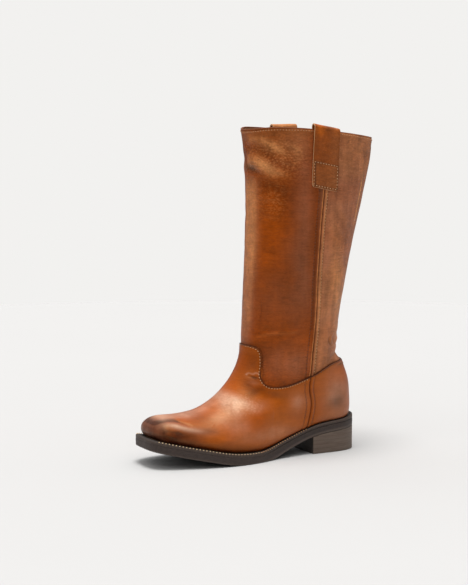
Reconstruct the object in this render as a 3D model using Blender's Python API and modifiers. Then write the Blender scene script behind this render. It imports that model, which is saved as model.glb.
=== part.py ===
"""Mid-calf pull-on boot, left foot, standing empty on its sole.

Metres, +Z up, toe towards -Y, outer (lateral) side towards +X. The tables below are in
millimetres in the last's own frame: y = 0 at the back of the sole, z = 0 on the floor,
x = 0 on the last's centre line. ORIGIN moves that frame so that the middle of the
finished boot's base is at the world's origin.
"""
import bpy
import bmesh
import numpy as np

MM = 0.001
# ---------------------------------------------------------------- sizes (mm)
SOLE_LENGTH   = 275.0     # heel back to toe tip
LEATHER_WALL  = 2.4       # vamp, counter and shaft with their lining
SOLE_THICK    = 12.8      # welt and outsole together
WELT_THICK    = 3.6
HEEL_LENGTH   = 67.0      # heel block, back to breast
FIT_GAP       = 0.3       # between pieces that meet
WELT_INSIDE   = 3.2       # welt's inner edge, inside the feather
INSOLE_RISE   = 2.4       # insole above the welt's top face
ANKLE_Z       = 150.0     # where the foot's sections give way to the leg's
STRAP_WIDTH, STRAP_THICK = 33.4, 1.8
STRAP_Y       = -62.5     # centre of the pull straps at the collar
STRAP_FOOT_Z  = 316.0     # lower end of the outer leg
STRAP_FREE_Z  = 346.0     # above this the outer leg isn't stitched down
STRAP_LIFT    = 1.6       # how far it stands off at the collar
STRAP_RISE    = 4.6       # loop above the end of its outer leg
STRAP_INSIDE  = 40.0      # inner leg
STRAP_TILT    = 0.2       # fall of the strap's ends from front to back
STRAP_LEAN    = 0.025     # lean of its length towards the back
TOE_CAP, TOE_SQUARE   = 35.0, 3.4    # length and squareness of the outline's rounded ends
HEEL_CAP, HEEL_SQUARE = 34.0, 2.6
FOOT_ROWS, LEG_ROWS   = 15, 8        # sections of the shell
BACK_COLS, FRONT_COLS = 10, 17       # each half section, behind and before the side seam
ORIGIN        = (0.0, -125.9)        # x, y of the middle of the boot's base

# height of the collar's edge, back to front: y, z
COLLAR = [(23.2, 373.2), (9.0, 374.9), (-12.0, 377.6), (-32.0, 380.3), (-62.0, 383.7), (-90.0, 386.0), (-112.0, 386.8), (-130.0, 386.3), (-142.1, 384.0)]

# sole outline: y, lateral half width, medial half width
OUTLINE = [(0.0, 28.6, 28.2), (-18.0, 30.3, 29.8), (-34.0, 31.6, 31.0), (-50.0, 32.2, 31.4), (-70.0, 32.6, 30.5),
           (-95.0, 35.4, 28.0), (-120.0, 39.8, 28.5), (-145.0, 47.6, 33.5), (-165.0, 51.0, 39.5),
           (-185.0, 51.2, 45.0), (-205.0, 49.2, 47.0), (-225.0, 44.9, 46.0), (-243.0, 39.4, 43.0),
           (-257.0, 35.4, 39.6), (-275.0, 33.6, 36.4)]
# height of the welt's top face: y, z
SEAT = [(0.0, 41.0), (-30.0, 38.5), (-62.0, 34.5), (-85.0, 28.4), (-110.0, 20.4), (-135.0, 13.4),
        (-160.0, 12.4), (-180.0, 13.8), (-195.0, 16.4), (-213.0, 20.3), (-235.0, 24.9), (-255.0, 29.4), (-275.0, 34.0)]
# widest half widths of the last: y, lateral, medial
FOOT = [(-4.0, 27.0, 27.0), (-20.0, 30.3, 30.0), (-40.0, 31.6, 30.5), (-65.0, 32.2, 29.5), (-90.0, 34.0, 28.5),
        (-115.0, 37.2, 29.5), (-140.0, 43.0, 32.5), (-162.0, 46.4, 36.5), (-185.0, 46.8, 41.0), (-205.0, 44.9, 42.6),
        (-225.0, 40.6, 41.6), (-243.0, 35.4, 38.6), (-258.0, 31.0, 35.4), (-270.0, 28.5, 33.0)]
# half widths of the leg: z, lateral, medial
LEG = [(60.0, 33.0, 32.0), (90.0, 34.0, 34.0), (125.0, 38.0, 38.0), (160.0, 41.0, 41.0), (200.0, 44.0, 44.0),
       (250.0, 47.5, 47.5), (300.0, 50.0, 50.0), (345.0, 51.0, 51.0), (390.0, 51.0, 51.0)]
# front profile, toe feather to collar: y, z, depth of the rounding, its exponent
TOP = [(-266.4, 32.4, 20, 2.6), (-267.8, 38.0, 20, 2.6), (-266.6, 44.6, 20, 2.5), (-260.0, 51.9, 22, 2.4),
       (-243.0, 55.2, 26, 2.3), (-222.0, 56.9, 32, 2.15), (-200.5, 61.2, 38, 2.0), (-180.5, 72.4, 46, 1.95),
       (-163.6, 89.6, 54, 1.9), (-151.8, 108.5, 58, 1.9), (-145.6, 126.5, 58, 1.95), (-143.7, 143.5, 58, 2.05),
       (-141.2, 175.0, 60, 2.15), (-138.8, 214.5, 62, 2.2), (-136.5, 259.5, 66, 2.2), (-135.9, 304.0, 70, 2.2),
       (-137.2, 348.0, 72, 2.2), (-142.1, 384.0, 72, 2.2)]
# back profile, heel feather to collar: the same columns
BACK = [(-4.5, 40.8, 27, 2.3), (-3.3, 52.0, 28, 2.3), (-3.3, 66.0, 29, 2.2), (-5.0, 81.0, 31, 2.2),
        (-9.5, 96.0, 34, 2.1), (-16.0, 106.5, 37, 2.1), (-22.0, 114.5, 40, 2.1), (-23.6, 125.0, 42, 2.1),
        (-21.2, 150.0, 48, 2.1), (-16.6, 181.0, 54, 2.15), (-9.0, 221.5, 60, 2.2), (1.2, 266.5, 66, 2.2),
        (12.0, 311.0, 70, 2.2), (20.5, 350.0, 72, 2.2), (23.2, 373.2, 72, 2.2)]
# sideways position of the ridge: y, x
RIDGE = [(-275.0, -3.0), (-240.0, -3.0), (-200.0, -2.0), (-160.0, -1.0), (-120.0, 0.0), (0.0, 0.0)]
# side seam: z, y
SIDE_SEAM = [(20.0, -73.0), (60.0, -71.4), (93.0, -71.3), (121.0, -70.8), (152.0, -69.5), (227.0, -68.2), (258.0, -67.0), (305.0, -64.4), (390.0, -61.6)]
# top edge of vamp and counter, from the back to the tongue top: y, z
VAMP_EDGE = [(-17.0, 107.8), (-26.0, 108.6), (-38.9, 107.7), (-52.1, 103.0), (-66.3, 95.8), (-78.4, 91.6), (-90.0, 88.2),
             (-103.0, 85.4), (-114.4, 84.4), (-124.0, 85.0), (-131.0, 87.6), (-134.8, 92.6), (-135.9, 98.5), (-134.6, 105.0),
             (-133.2, 112.0), (-132.8, 119.5), (-133.3, 125.0), (-136.0, 129.8), (-140.5, 132.2), (-145.7, 133.5)]
UNDERCUT, UNDERCUT_HEIGHT = 2.2, 13.0   # pull-in of the wall at the feather


# ---------------------------------------------------------------- curves
def spline(xs, ys):
    """natural cubic through the rows of a table, straight beyond its ends"""
    xs, ys = np.asarray(xs, float), np.asarray(ys, float)
    if xs[0] > xs[-1]:
        xs, ys = xs[::-1], ys[::-1]
    n, h = len(xs), np.diff(xs)
    a, r = np.eye(n), np.zeros(n)
    for i in range(1, n - 1):
        a[i, i - 1:i + 2] = h[i - 1], 2 * (h[i - 1] + h[i]), h[i]
        r[i] = 6 * ((ys[i + 1] - ys[i]) / h[i] - (ys[i] - ys[i - 1]) / h[i - 1])
    m = np.linalg.solve(a, r)
    s0 = (ys[1] - ys[0]) / h[0] - h[0] * (2 * m[0] + m[1]) / 6
    s1 = (ys[-1] - ys[-2]) / h[-1] + h[-1] * (m[-2] + 2 * m[-1]) / 6

    def at(x):
        x = np.asarray(x, float)
        c = np.clip(x, xs[0], xs[-1])
        i = np.clip(np.searchsorted(xs, c) - 1, 0, n - 2)
        p, q = (xs[i + 1] - c) / h[i], (c - xs[i]) / h[i]
        v = p * ys[i] + q * ys[i + 1] + ((p ** 3 - p) * m[i] + (q ** 3 - q) * m[i + 1]) * h[i] ** 2 / 6
        return v + np.minimum(x - xs[0], 0) * s0 + np.maximum(x - xs[-1], 0) * s1
    return at


def ease(t):
    t = np.clip(t, 0, 1)
    return t * t * (3 - 2 * t)


def column(rows, k):
    return spline([r[0] for r in rows], [r[k] for r in rows])


class Profile:
    """a smooth line in the side view, read by its length"""
    def __init__(self, rows, samples=700):
        r = np.array(rows, float)
        c = np.concatenate([[0], np.cumsum(np.hypot(np.diff(r[:, 0]), np.diff(r[:, 1])))])
        self.cols = [spline(c, r[:, k]) for k in range(r.shape[1])]
        self.t = np.linspace(0, c[-1], samples)
        self.p = np.stack([self.cols[0](self.t), self.cols[1](self.t)], 1)
        self.run = np.concatenate([[0], np.cumsum(np.hypot(*np.diff(self.p, axis=0).T))])
        self.length = self.run[-1]

    def at(self, s):
        t = np.interp(s, self.run, self.t)
        return np.stack([self.cols[0](t), self.cols[1](t)], -1)

    def length_at_z(self, z):
        k = np.nonzero((self.p[:-1, 1] - z) * (self.p[1:, 1] - z) <= 0)[0][-1]
        f = (z - self.p[k, 1]) / (self.p[k + 1, 1] - self.p[k, 1])
        return self.run[k] + f * (self.run[k + 1] - self.run[k])

    def distance(self, q):
        """distance of each point to the line, with the rounding depth and exponent there"""
        a, b = self.p[:-1], self.p[1:]
        ab = b - a
        l2 = (ab ** 2).sum(1)
        out = np.empty((len(q), 3))
        for i in range(0, len(q), 3000):
            c = q[i:i + 3000]
            k = ((c[:, None] - self.p[None]) ** 2).sum(2).argmin(1)
            d = np.full(len(c), 1e9)
            t = np.zeros(len(c))
            for o in (-1, 0):
                kk = np.clip(k + o, 0, len(a) - 1)
                w = np.clip(((c - a[kk]) * ab[kk]).sum(1) / l2[kk], 0, 1)
                e = np.hypot(*(c - a[kk] - ab[kk] * w[:, None]).T)
                n = e < d
                d = np.where(n, e, d)
                t = np.where(n, self.t[kk] + (self.t[kk + 1] - self.t[kk]) * w, t)
            out[i:i + 3000] = np.stack([d, self.cols[2](t), self.cols[3](t)], 1)
        return out.T


top, back = Profile(TOP), Profile(BACK)
vamp_edge = Profile(VAMP_EDGE)
seat, ridge, collar_z = column(SEAT, 1), column(RIDGE, 1), column(COLLAR, 1)
foot_w = {1: column(FOOT, 1), -1: column(FOOT, 2)}
leg_w = {1: column(LEG, 1), -1: column(LEG, 2)}
sole_w = {1: column(OUTLINE, 1), -1: column(OUTLINE, 2)}
seam_y = column(SIDE_SEAM, 1)


def fall(d, n):
    d = np.clip(d, 0, 1)
    return (1 - (1 - d) ** n) ** (1 / n)


def surface(p, side):
    """outer face of the boot over side-view points p (y, z); side 1 lateral, -1 medial"""
    y, z = p[:, 0], p[:, 1]
    dt, pt, nt = top.distance(p)
    db, pb, nb = back.distance(p)
    k = ease((z - 55) / 75) * ease((y + 190) / 70)
    w = foot_w[side](y) * (1 - k) + leg_w[side](z) * k
    w = w - UNDERCUT * (1 - np.clip((z - seat(y)) / UNDERCUT_HEIGHT, 0, 1)) ** 2
    x = ridge(y) * (1 - ease((z - 60) / 60)) + side * w * fall(dt / pt, nt) * fall(db / pb, nb)
    return np.stack([x, y, z], 1)


# ---------------------------------------------------------------- patches of the surface
def run_length(p):
    return np.concatenate([[0], np.cumsum(np.linalg.norm(np.diff(p, axis=0), axis=1))])


def even(line, side, n):
    """side-view line resampled so that its n points are evenly spaced on the surface"""
    r = run_length(surface(line, side))
    s = np.linspace(0, r[-1], n)
    return np.stack([np.interp(s, r, line[:, k]) for k in (0, 1)], 1)


def seat_line(y0, y1, n=260):
    y = y0 + (y1 - y0) * (1 - np.cos(np.pi * np.linspace(0, 1, n))) / 2
    return np.stack([y, seat(y) + FIT_GAP], 1)


def straight(a, b, n=260):
    t = ((1 - np.cos(np.pi * np.linspace(0, 1, n))) / 2)[:, None]
    return a + (b - a) * t


def collar_line(a, b):
    y = straight(a, b)[:, 0]
    return np.stack([y, collar_z(y)], 1)


def side_seam(z):
    return np.stack([seam_y(z), z], -1)


def block(low, high, left, right, rows, cols, side):
    """rows of surface points between four side-view lines"""
    low, high = even(low, side, 160), even(high, side, 160)
    out = []
    for v in rows:
        p = (1 - v) * low + v * high
        t = run_length(p)[:, None]
        t = t / t[-1]
        p = p + (1 - t) * (left(v) - p[0]) + t * (right(v) - p[-1])
        out.append(surface(even(p, side, cols + 1), side))
    return np.array(out)


def boot_rings(side):
    """half rings of the boot from back to front: foot block, then leg block"""
    za, ta, tb = ANKLE_Z, top.length_at_z(ANKLE_Z + 2), back.length_at_z(ANKLE_Z)
    y_side = -73.0
    z_side = float(collar_z(seam_y(384.0)))
    foot_rows = np.linspace(0, 1, FOOT_ROWS + 1) ** 1.15
    leg_rows = np.linspace(0, 1, LEG_ROWS + 1)[1:]
    ankle_seam = side_seam(np.array(za))
    collar_seam = side_seam(np.array(z_side))
    seam_foot = lambda v: side_seam(np.array((1 - v) * (float(seat(y_side)) + FIT_GAP) + v * za))
    seam_leg = lambda v: side_seam(np.array((1 - v) * za + v * z_side))
    low_b, low_f = seat_line(BACK[0][0], y_side), seat_line(y_side, TOP[0][0])
    mid_b, mid_f = straight(back.at(tb), ankle_seam), straight(ankle_seam, top.at(ta))
    end_b, end_f = collar_line(back.at(back.length), collar_seam), collar_line(collar_seam, top.at(top.length))
    b1 = block(low_b, mid_b, lambda v: back.at(v * tb), seam_foot, foot_rows, BACK_COLS, side)
    f1 = block(low_f, mid_f, seam_foot, lambda v: top.at(v * ta), foot_rows, FRONT_COLS, side)
    b2 = block(mid_b, end_b, lambda v: back.at(tb + v * (back.length - tb)), seam_leg, leg_rows, BACK_COLS, side)
    f2 = block(mid_f, end_f, seam_leg, lambda v: top.at(ta + v * (top.length - ta)), leg_rows, FRONT_COLS, side)
    return np.concatenate([np.concatenate([b1, f1[:, 1:]], 1), np.concatenate([b2, f2[:, 1:]], 1)], 0)


# ---------------------------------------------------------------- plan outlines
def half_outline(side, n=220):
    """sole outline from heel tip to toe tip: y, half width"""
    y = -SOLE_LENGTH * (1 - np.cos(np.pi * np.linspace(0, 1, n))) / 2
    t = np.clip((TOE_CAP - SOLE_LENGTH - y) / TOE_CAP, 0, 1)
    h = np.clip((y + HEEL_CAP) / HEEL_CAP, 0, 1)
    return y, sole_w[side](y) * (1 - t ** TOE_SQUARE) ** (1 / TOE_SQUARE) * (1 - h ** HEEL_SQUARE) ** (1 / HEEL_SQUARE)


def sole_loop():
    (y, a), (_, b) = half_outline(1), half_outline(-1)
    return np.concatenate([np.stack([a, y], 1), np.stack([-b, y], 1)[-2:0:-1]])


def feather_loop():
    line = seat_line(BACK[0][0], TOP[0][0])
    a, b = surface(line, 1)[:, :2], surface(line, -1)[:, :2]
    return np.concatenate([a, b[-2:0:-1]])


def inset(loop, d):
    """closed loop moved inwards by d"""
    r = run_length(np.concatenate([loop, loop[:1]]))
    s = np.linspace(0, r[-1], 401)[:-1]
    c = np.stack([np.interp(s, r, np.append(loop[:, k], loop[0, k])) for k in (0, 1)], 1)
    t = np.roll(c, -2, 0) - np.roll(c, 2, 0)
    t /= np.linalg.norm(t, axis=1)[:, None]
    n = np.stack([-t[:, 1], t[:, 0]], 1)
    if ((c - c.mean(0)) * n).sum() > 0:
        n = -n
    return c + n * d


def across(loop, y):
    """least and greatest x of a closed loop at the given y"""
    e = np.roll(loop, -1, 0)
    lo, hi = [], []
    for v in y:
        m = (loop[:, 1] - v) * (e[:, 1] - v) <= 0
        a, b = loop[m], e[m]
        f = np.where(a[:, 1] == b[:, 1], 0.0, (v - a[:, 1]) / np.where(a[:, 1] == b[:, 1], 1.0, b[:, 1] - a[:, 1]))
        x = a[:, 0] + f * (b[:, 0] - a[:, 0])
        lo.append(x.min())
        hi.append(x.max())
    return np.array(lo), np.array(hi)


def stations(y0, y1, n, ends=1.0):
    """y values between two ends, closer together towards rounded ends"""
    u = np.linspace(0, 1, n)
    return y0 + (y1 - y0) * ((1 - ends) * u + ends * (1 - np.cos(np.pi * u)) / 2)


# ---------------------------------------------------------------- mesh makers
def world(p):
    return (np.asarray(p, float) - np.array([ORIGIN[0], ORIGIN[1], 0.0])) * MM


def material(name, rgb, rough):
    m = bpy.data.materials.new(name)
    m.use_nodes = True
    b = m.node_tree.nodes["Principled BSDF"]
    b.inputs["Base Color"].default_value = (*rgb, 1)
    b.inputs["Roughness"].default_value = rough
    b.inputs["Metallic"].default_value = 0.0
    m.diffuse_color = (*rgb, 1)
    return m


def add(name, verts, faces, mat, where):
    me = bpy.data.meshes.new(name)
    me.from_pydata([tuple(v) for v in world(verts)], [], faces)
    me.update()
    bm = bmesh.new()
    bm.from_mesh(me)
    if all(e.is_manifold for e in bm.edges):
        bmesh.ops.recalc_face_normals(bm, faces=bm.faces)
    bm.to_mesh(me)
    bm.free()
    if mat:
        me.materials.append(mat)
    me.shade_smooth()
    me.set_sharp_from_angle(angle=0.7)
    ob = bpy.data.objects.new(name, me)
    where.objects.link(ob)
    return ob


def plate(name, y, lo, hi, z_low, z_high, tips, mat, where):
    """solid between two heights that follow y, cut across at each station;
    tips says for each end whether the plan closes there in a point"""
    verts, rows = [], []
    for k, v in enumerate(y):
        tip = (k == 0 and tips[0]) or (k == len(y) - 1 and tips[1])
        xs = [(lo[k] + hi[k]) / 2] if tip else [hi[k], lo[k]]
        row = []
        for z in (z_high[k], z_low[k]):
            row.append([len(verts) + i for i in range(len(xs))])
            verts += [(x, v, z) for x in xs]
        rows.append(row)
    faces = []
    for a, b in zip(rows[:-1], rows[1:]):
        (at, ab), (bt, bb) = a, b
        for p, q in ((at, bt), (ab, bb)):
            faces.append(list(dict.fromkeys([p[0], q[0], q[-1], p[-1]])))
        faces.append([at[0], bt[0], bb[0], ab[0]])
        faces.append([at[-1], ab[-1], bb[-1], bt[-1]])
    for row, tip in ((rows[0], tips[0]), (rows[-1], tips[1])):
        if not tip:
            faces.append([row[0][0], row[0][1], row[1][1], row[1][0]])
    return add(name, verts, faces, mat, where)


def strip(name, outer, inner, z_low, z_high, mat, where):
    """ring between two closed loops of equal count, under heights that follow y"""
    n = len(outer)
    verts = []
    for loop in (outer, inner):
        for f in (z_high, z_low):
            verts += [(x, y, f(y)) for x, y in loop]
    faces = []
    for i in range(n):
        j = (i + 1) % n
        ot, ob_, it, ib = (k * n for k in range(4))
        faces += [[ot + i, ot + j, it + j, it + i], [ob_ + i, ib + i, ib + j, ob_ + j],
                  [ot + i, ob_ + i, ob_ + j, ot + j], [it + i, it + j, ib + j, ib + i]]
    return add(name, verts, faces, mat, where)


def thicken(ob, wall, offset):
    m = ob.modifiers.new("wall", "SOLIDIFY")
    m.thickness = wall * MM
    m.offset = offset
    m.use_even_offset = False
    m.use_rim = True
    m.use_quality_normals = True


def cut(ob, cutter):
    m = ob.modifiers.new("edge", "BOOLEAN")
    m.operation = "DIFFERENCE"
    m.solver = "EXACT"
    m.object = cutter


def match(loop, count, start):
    """closed loop as count points, evenly spaced, starting where it is nearest to start"""
    k = np.linalg.norm(loop - start, axis=1).argmin()
    c = np.roll(loop, -k, 0)
    c = np.concatenate([c, c[:1]])
    r = run_length(c)
    s = np.linspace(0, r[-1], count + 1)[:-1]
    return np.stack([np.interp(s, r, c[:, i]) for i in (0, 1)], 1)


# ---------------------------------------------------------------- the boot
def clear():
    for ob in list(bpy.data.objects):
        bpy.data.objects.remove(ob, do_unlink=True)


def skin(name, mat, where):
    """the boot's outer face from feather to collar as one open surface"""
    a, b = boot_rings(1), boot_rings(-1)
    rings = np.concatenate([a, b[:, -2:0:-1]], 1)
    m, n = rings.shape[:2]
    faces = [[i * n + j, i * n + (j + 1) % n, (i + 1) * n + (j + 1) % n, (i + 1) * n + j]
             for i in range(m - 1) for j in range(n)]
    return add(name, rings.reshape(-1, 3), [f[::-1] for f in faces], mat, where)


def edge_cutter(name, above, where):
    """block that takes away what lies above (or below) the vamp and counter edge"""
    line = vamp_edge.at(np.linspace(0, vamp_edge.length, 46))
    t = np.gradient(line, axis=0)
    t /= np.linalg.norm(t, axis=1)[:, None]
    n = np.stack([t[:, 1], -t[:, 0]], 1)          # towards the shaft
    line = line + n * (0.0 if above else FIT_GAP)
    head, tail = line[0] + [60, 0], line[-1] + [-150, 6]
    far = 460.0 if above else -60.0
    ring = np.concatenate([[head], line, [tail], [[tail[0], far]], [[head[0], far]]])
    k = len(ring)
    verts = [(x, y, z) for x in (-90.0, 90.0) for y, z in ring]
    faces = [list(range(k)), list(range(k, 2 * k))] + [[i, (i + 1) % k, k + (i + 1) % k, k + i] for i in range(k)]
    ob = add(name, verts, faces, None, where)
    ob.hide_render = True
    ob.display_type = "WIRE"
    return ob


def outward(p, side):
    """unit normals of the outer face at side-view points"""
    e = 0.5
    dy = (surface(p + [e, 0], side) - surface(p - [e, 0], side))[:, 0] / (2 * e)
    dz = (surface(p + [0, e], side) - surface(p - [0, e], side))[:, 0] / (2 * e)
    n = np.stack([np.ones(len(p)), -dy, -dz], 1) * side
    return n / np.linalg.norm(n, axis=1)[:, None]


def pull_strap(name, side, mat, where):
    """leather loop over the collar: outer leg, arch and inner leg as one bent band"""
    half = STRAP_THICK / 2
    cols = []
    for s in np.linspace(-0.5, 0.5, 7):
        shear = -STRAP_TILT * s * STRAP_WIDTH
        z_top = float(collar_z(STRAP_Y)) - 0.2 + shear
        z_low = STRAP_FOOT_Z + shear
        up = np.linspace(z_low, z_top, 9)
        y_of = lambda z: STRAP_Y + s * STRAP_WIDTH + (z - z_top) * STRAP_LEAN
        line = np.stack([y_of(up), up], 1)
        p, n = surface(line, side), outward(line, side)
        lift = STRAP_LIFT * ease((up - STRAP_FREE_Z) / (z_top - STRAP_FREE_Z))
        outer = p + n * (FIT_GAP + 0.05 + half + lift)[:, None]
        down = np.linspace(z_top, z_top - STRAP_INSIDE, 6)
        line = np.stack([np.full(6, y_of(z_top)), down], 1)
        q, m = surface(line, side), outward(line, side)
        inner = q - m * (LEATHER_WALL + FIT_GAP + 0.4 + half)
        c, r = (outer[-1] + inner[0]) / 2, (outer[-1] - inner[0]) / 2
        a = np.linspace(0, np.pi, 9)[1:-1]
        arch = c + np.outer(np.cos(a), r) + np.outer(np.sin(a), [0, 0, STRAP_RISE - half])
        cols.append(np.concatenate([outer, arch, inner]))
    cols = np.array(cols)
    m, n = cols.shape[:2]
    faces = [[i * n + j, (i + 1) * n + j, (i + 1) * n + j + 1, i * n + j + 1] for i in range(m - 1) for j in range(n - 1)]
    ob = add(name, cols.reshape(-1, 3), faces, mat, where)
    thicken(ob, STRAP_THICK, 0.0)
    return ob


def main():
    clear()
    parts = bpy.data.collections.new("mid_calf_boot")
    tools = bpy.data.collections.new("cutters")
    for c in (parts, tools):
        bpy.context.scene.collection.children.link(c)

    tan = material("vamp_leather", (0.42, 0.13, 0.03), 0.35)
    brown = material("shaft_leather", (0.26, 0.085, 0.03), 0.45)
    strap = material("strap_leather", (0.25, 0.085, 0.03), 0.45)
    edge = material("welt_leather", (0.11, 0.085, 0.065), 0.55)
    rubber = material("sole_rubber", (0.065, 0.05, 0.042), 0.6)
    stack = material("heel_stack", (0.09, 0.07, 0.055), 0.6)
    board = material("insole_leather", (0.35, 0.22, 0.12), 0.7)

    upper = skin("upper", tan, parts)
    thicken(upper, LEATHER_WALL, -1.0)
    cut(upper, edge_cutter("cut_above_edge", True, tools))
    shaft = skin("shaft", brown, parts)
    thicken(shaft, LEATHER_WALL, -1.0)
    cut(shaft, edge_cutter("cut_below_edge", False, tools))

    # sole unit, from the top down
    feather = feather_loop()
    lip = inset(feather, WELT_INSIDE)
    outer = match(sole_loop(), 112, np.array([0.0, 0.0]))
    inner = match(lip, 112, np.array([0.0, lip[:, 1].max()]))
    strip("welt", outer, inner, lambda y: float(seat(y)) - WELT_THICK, lambda y: float(seat(y)), edge, parts)

    y = stations(-0.0, -SOLE_LENGTH, 57)
    (yy, a), (_, b) = half_outline(1), half_outline(-1)
    hi, lo = np.interp(-y, -yy, a), -np.interp(-y, -yy, b)
    z_top = seat(y) - WELT_THICK - FIT_GAP
    z_bottom = np.maximum(seat(y) - SOLE_THICK, 0.0)
    plate("outsole", y, lo, hi, z_bottom, z_top, (True, True), rubber, parts)

    y = HEEL_LENGTH * -(1 - np.cos(np.pi / 2 * np.linspace(0, 1, 19)))
    hi, lo = np.interp(-y, -yy, a), -np.interp(-y, -yy, b)
    plate("heel_block", y, lo, hi, np.zeros(19), seat(y) - SOLE_THICK - FIT_GAP, (True, False), stack, parts)

    bed = inset(feather, WELT_INSIDE + FIT_GAP + 0.1)
    y = stations(bed[:, 1].max() - 0.05, bed[:, 1].min() + 0.05, 49)
    lo, hi = across(bed, y)
    plate("insole", y, lo, hi, seat(y) - WELT_THICK, seat(y) + INSOLE_RISE, (True, True), board, parts)

    pull_strap("pull_strap_lateral", 1, strap, parts)
    pull_strap("pull_strap_medial", -1, strap, parts)


main()
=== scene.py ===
"""Looks of the mid-calf pull-on boot (left foot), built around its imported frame.

Sizes are in millimetres in the last's own frame (y = 0 at the back of the sole, toe towards -y,
z = 0 on the floor, outer side towards +x), as in the part's source; world() turns them into metres.
"""
import bpy
import math
import numpy as np
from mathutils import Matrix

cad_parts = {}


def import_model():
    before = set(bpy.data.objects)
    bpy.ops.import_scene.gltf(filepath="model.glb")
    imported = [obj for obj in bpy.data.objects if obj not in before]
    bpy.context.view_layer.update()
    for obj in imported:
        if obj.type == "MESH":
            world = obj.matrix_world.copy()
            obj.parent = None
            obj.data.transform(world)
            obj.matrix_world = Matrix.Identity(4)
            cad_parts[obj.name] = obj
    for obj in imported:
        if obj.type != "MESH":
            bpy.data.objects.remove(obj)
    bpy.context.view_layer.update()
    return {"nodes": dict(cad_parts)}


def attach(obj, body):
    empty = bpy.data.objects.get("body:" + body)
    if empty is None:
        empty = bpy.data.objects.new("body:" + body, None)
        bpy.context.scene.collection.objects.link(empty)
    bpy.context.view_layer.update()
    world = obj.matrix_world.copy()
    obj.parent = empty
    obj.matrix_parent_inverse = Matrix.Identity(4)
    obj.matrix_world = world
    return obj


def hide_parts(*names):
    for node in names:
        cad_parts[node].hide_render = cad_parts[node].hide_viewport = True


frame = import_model()
MM = 0.001

# ---------------------------------------------------------------- sizes (mm)
SOLE_LENGTH   = 275.0     # heel back to toe tip
LEATHER_WALL  = 2.4       # vamp, counter and shaft with their lining
SOLE_THICK    = 12.8      # welt and outsole together
WELT_THICK    = 3.6
HEEL_LENGTH   = 67.0      # heel block, back to breast
FIT_GAP       = 0.3       # between pieces that meet
WELT_INSIDE   = 3.2       # welt's inner edge, inside the feather
INSOLE_RISE   = 2.4       # insole above the welt's top face
ANKLE_Z       = 150.0     # where the foot's sections give way to the leg's
STRAP_WIDTH, STRAP_THICK = 33.4, 1.8
STRAP_Y       = -62.5     # centre of the pull straps at the collar
STRAP_FOOT_Z  = 316.0     # lower end of the outer leg
STRAP_FREE_Z  = 346.0     # above this the outer leg isn't stitched down
STRAP_LIFT    = 1.6       # how far it stands off at the collar
STRAP_RISE    = 4.6       # loop above the end of its outer leg
STRAP_INSIDE  = 40.0      # inner leg
STRAP_TILT    = 0.2       # fall of the strap's ends from front to back
STRAP_LEAN    = 0.025     # lean of its length towards the back
TOE_CAP, TOE_SQUARE   = 35.0, 3.4    # length and squareness of the outline's rounded ends
HEEL_CAP, HEEL_SQUARE = 34.0, 2.6
FOOT_ROWS, LEG_ROWS   = 15, 8        # sections of the shell
BACK_COLS, FRONT_COLS = 10, 17       # each half section, behind and before the side seam
ORIGIN        = (0.0, -125.9)        # x, y of the middle of the boot's base

# height of the collar's edge, back to front: y, z
COLLAR = [(23.2, 373.2), (9.0, 374.9), (-12.0, 377.6), (-32.0, 380.3), (-62.0, 383.7), (-90.0, 386.0), (-112.0, 386.8), (-130.0, 386.3), (-142.1, 384.0)]

# sole outline: y, lateral half width, medial half width
OUTLINE = [(0.0, 28.6, 28.2), (-18.0, 30.3, 29.8), (-34.0, 31.6, 31.0), (-50.0, 32.2, 31.4), (-70.0, 32.6, 30.5),
           (-95.0, 35.4, 28.0), (-120.0, 39.8, 28.5), (-145.0, 47.6, 33.5), (-165.0, 51.0, 39.5),
           (-185.0, 51.2, 45.0), (-205.0, 49.2, 47.0), (-225.0, 44.9, 46.0), (-243.0, 39.4, 43.0),
           (-257.0, 35.4, 39.6), (-275.0, 33.6, 36.4)]
# height of the welt's top face: y, z
SEAT = [(0.0, 41.0), (-30.0, 38.5), (-62.0, 34.5), (-85.0, 28.4), (-110.0, 20.4), (-135.0, 13.4),
        (-160.0, 12.4), (-180.0, 13.8), (-195.0, 16.4), (-213.0, 20.3), (-235.0, 24.9), (-255.0, 29.4), (-275.0, 34.0)]
# widest half widths of the last: y, lateral, medial
FOOT = [(-4.0, 27.0, 27.0), (-20.0, 30.3, 30.0), (-40.0, 31.6, 30.5), (-65.0, 32.2, 29.5), (-90.0, 34.0, 28.5),
        (-115.0, 37.2, 29.5), (-140.0, 43.0, 32.5), (-162.0, 46.4, 36.5), (-185.0, 46.8, 41.0), (-205.0, 44.9, 42.6),
        (-225.0, 40.6, 41.6), (-243.0, 35.4, 38.6), (-258.0, 31.0, 35.4), (-270.0, 28.5, 33.0)]
# half widths of the leg: z, lateral, medial
LEG = [(60.0, 33.0, 32.0), (90.0, 34.0, 34.0), (125.0, 38.0, 38.0), (160.0, 41.0, 41.0), (200.0, 44.0, 44.0),
       (250.0, 47.5, 47.5), (300.0, 50.0, 50.0), (345.0, 51.0, 51.0), (390.0, 51.0, 51.0)]
# front profile, toe feather to collar: y, z, depth of the rounding, its exponent
TOP = [(-266.4, 32.4, 20, 2.6), (-267.8, 38.0, 20, 2.6), (-266.6, 44.6, 20, 2.5), (-260.0, 51.9, 22, 2.4),
       (-243.0, 55.2, 26, 2.3), (-222.0, 56.9, 32, 2.15), (-200.5, 61.2, 38, 2.0), (-180.5, 72.4, 46, 1.95),
       (-163.6, 89.6, 54, 1.9), (-151.8, 108.5, 58, 1.9), (-145.6, 126.5, 58, 1.95), (-143.7, 143.5, 58, 2.05),
       (-141.2, 175.0, 60, 2.15), (-138.8, 214.5, 62, 2.2), (-136.5, 259.5, 66, 2.2), (-135.9, 304.0, 70, 2.2),
       (-137.2, 348.0, 72, 2.2), (-142.1, 384.0, 72, 2.2)]
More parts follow.
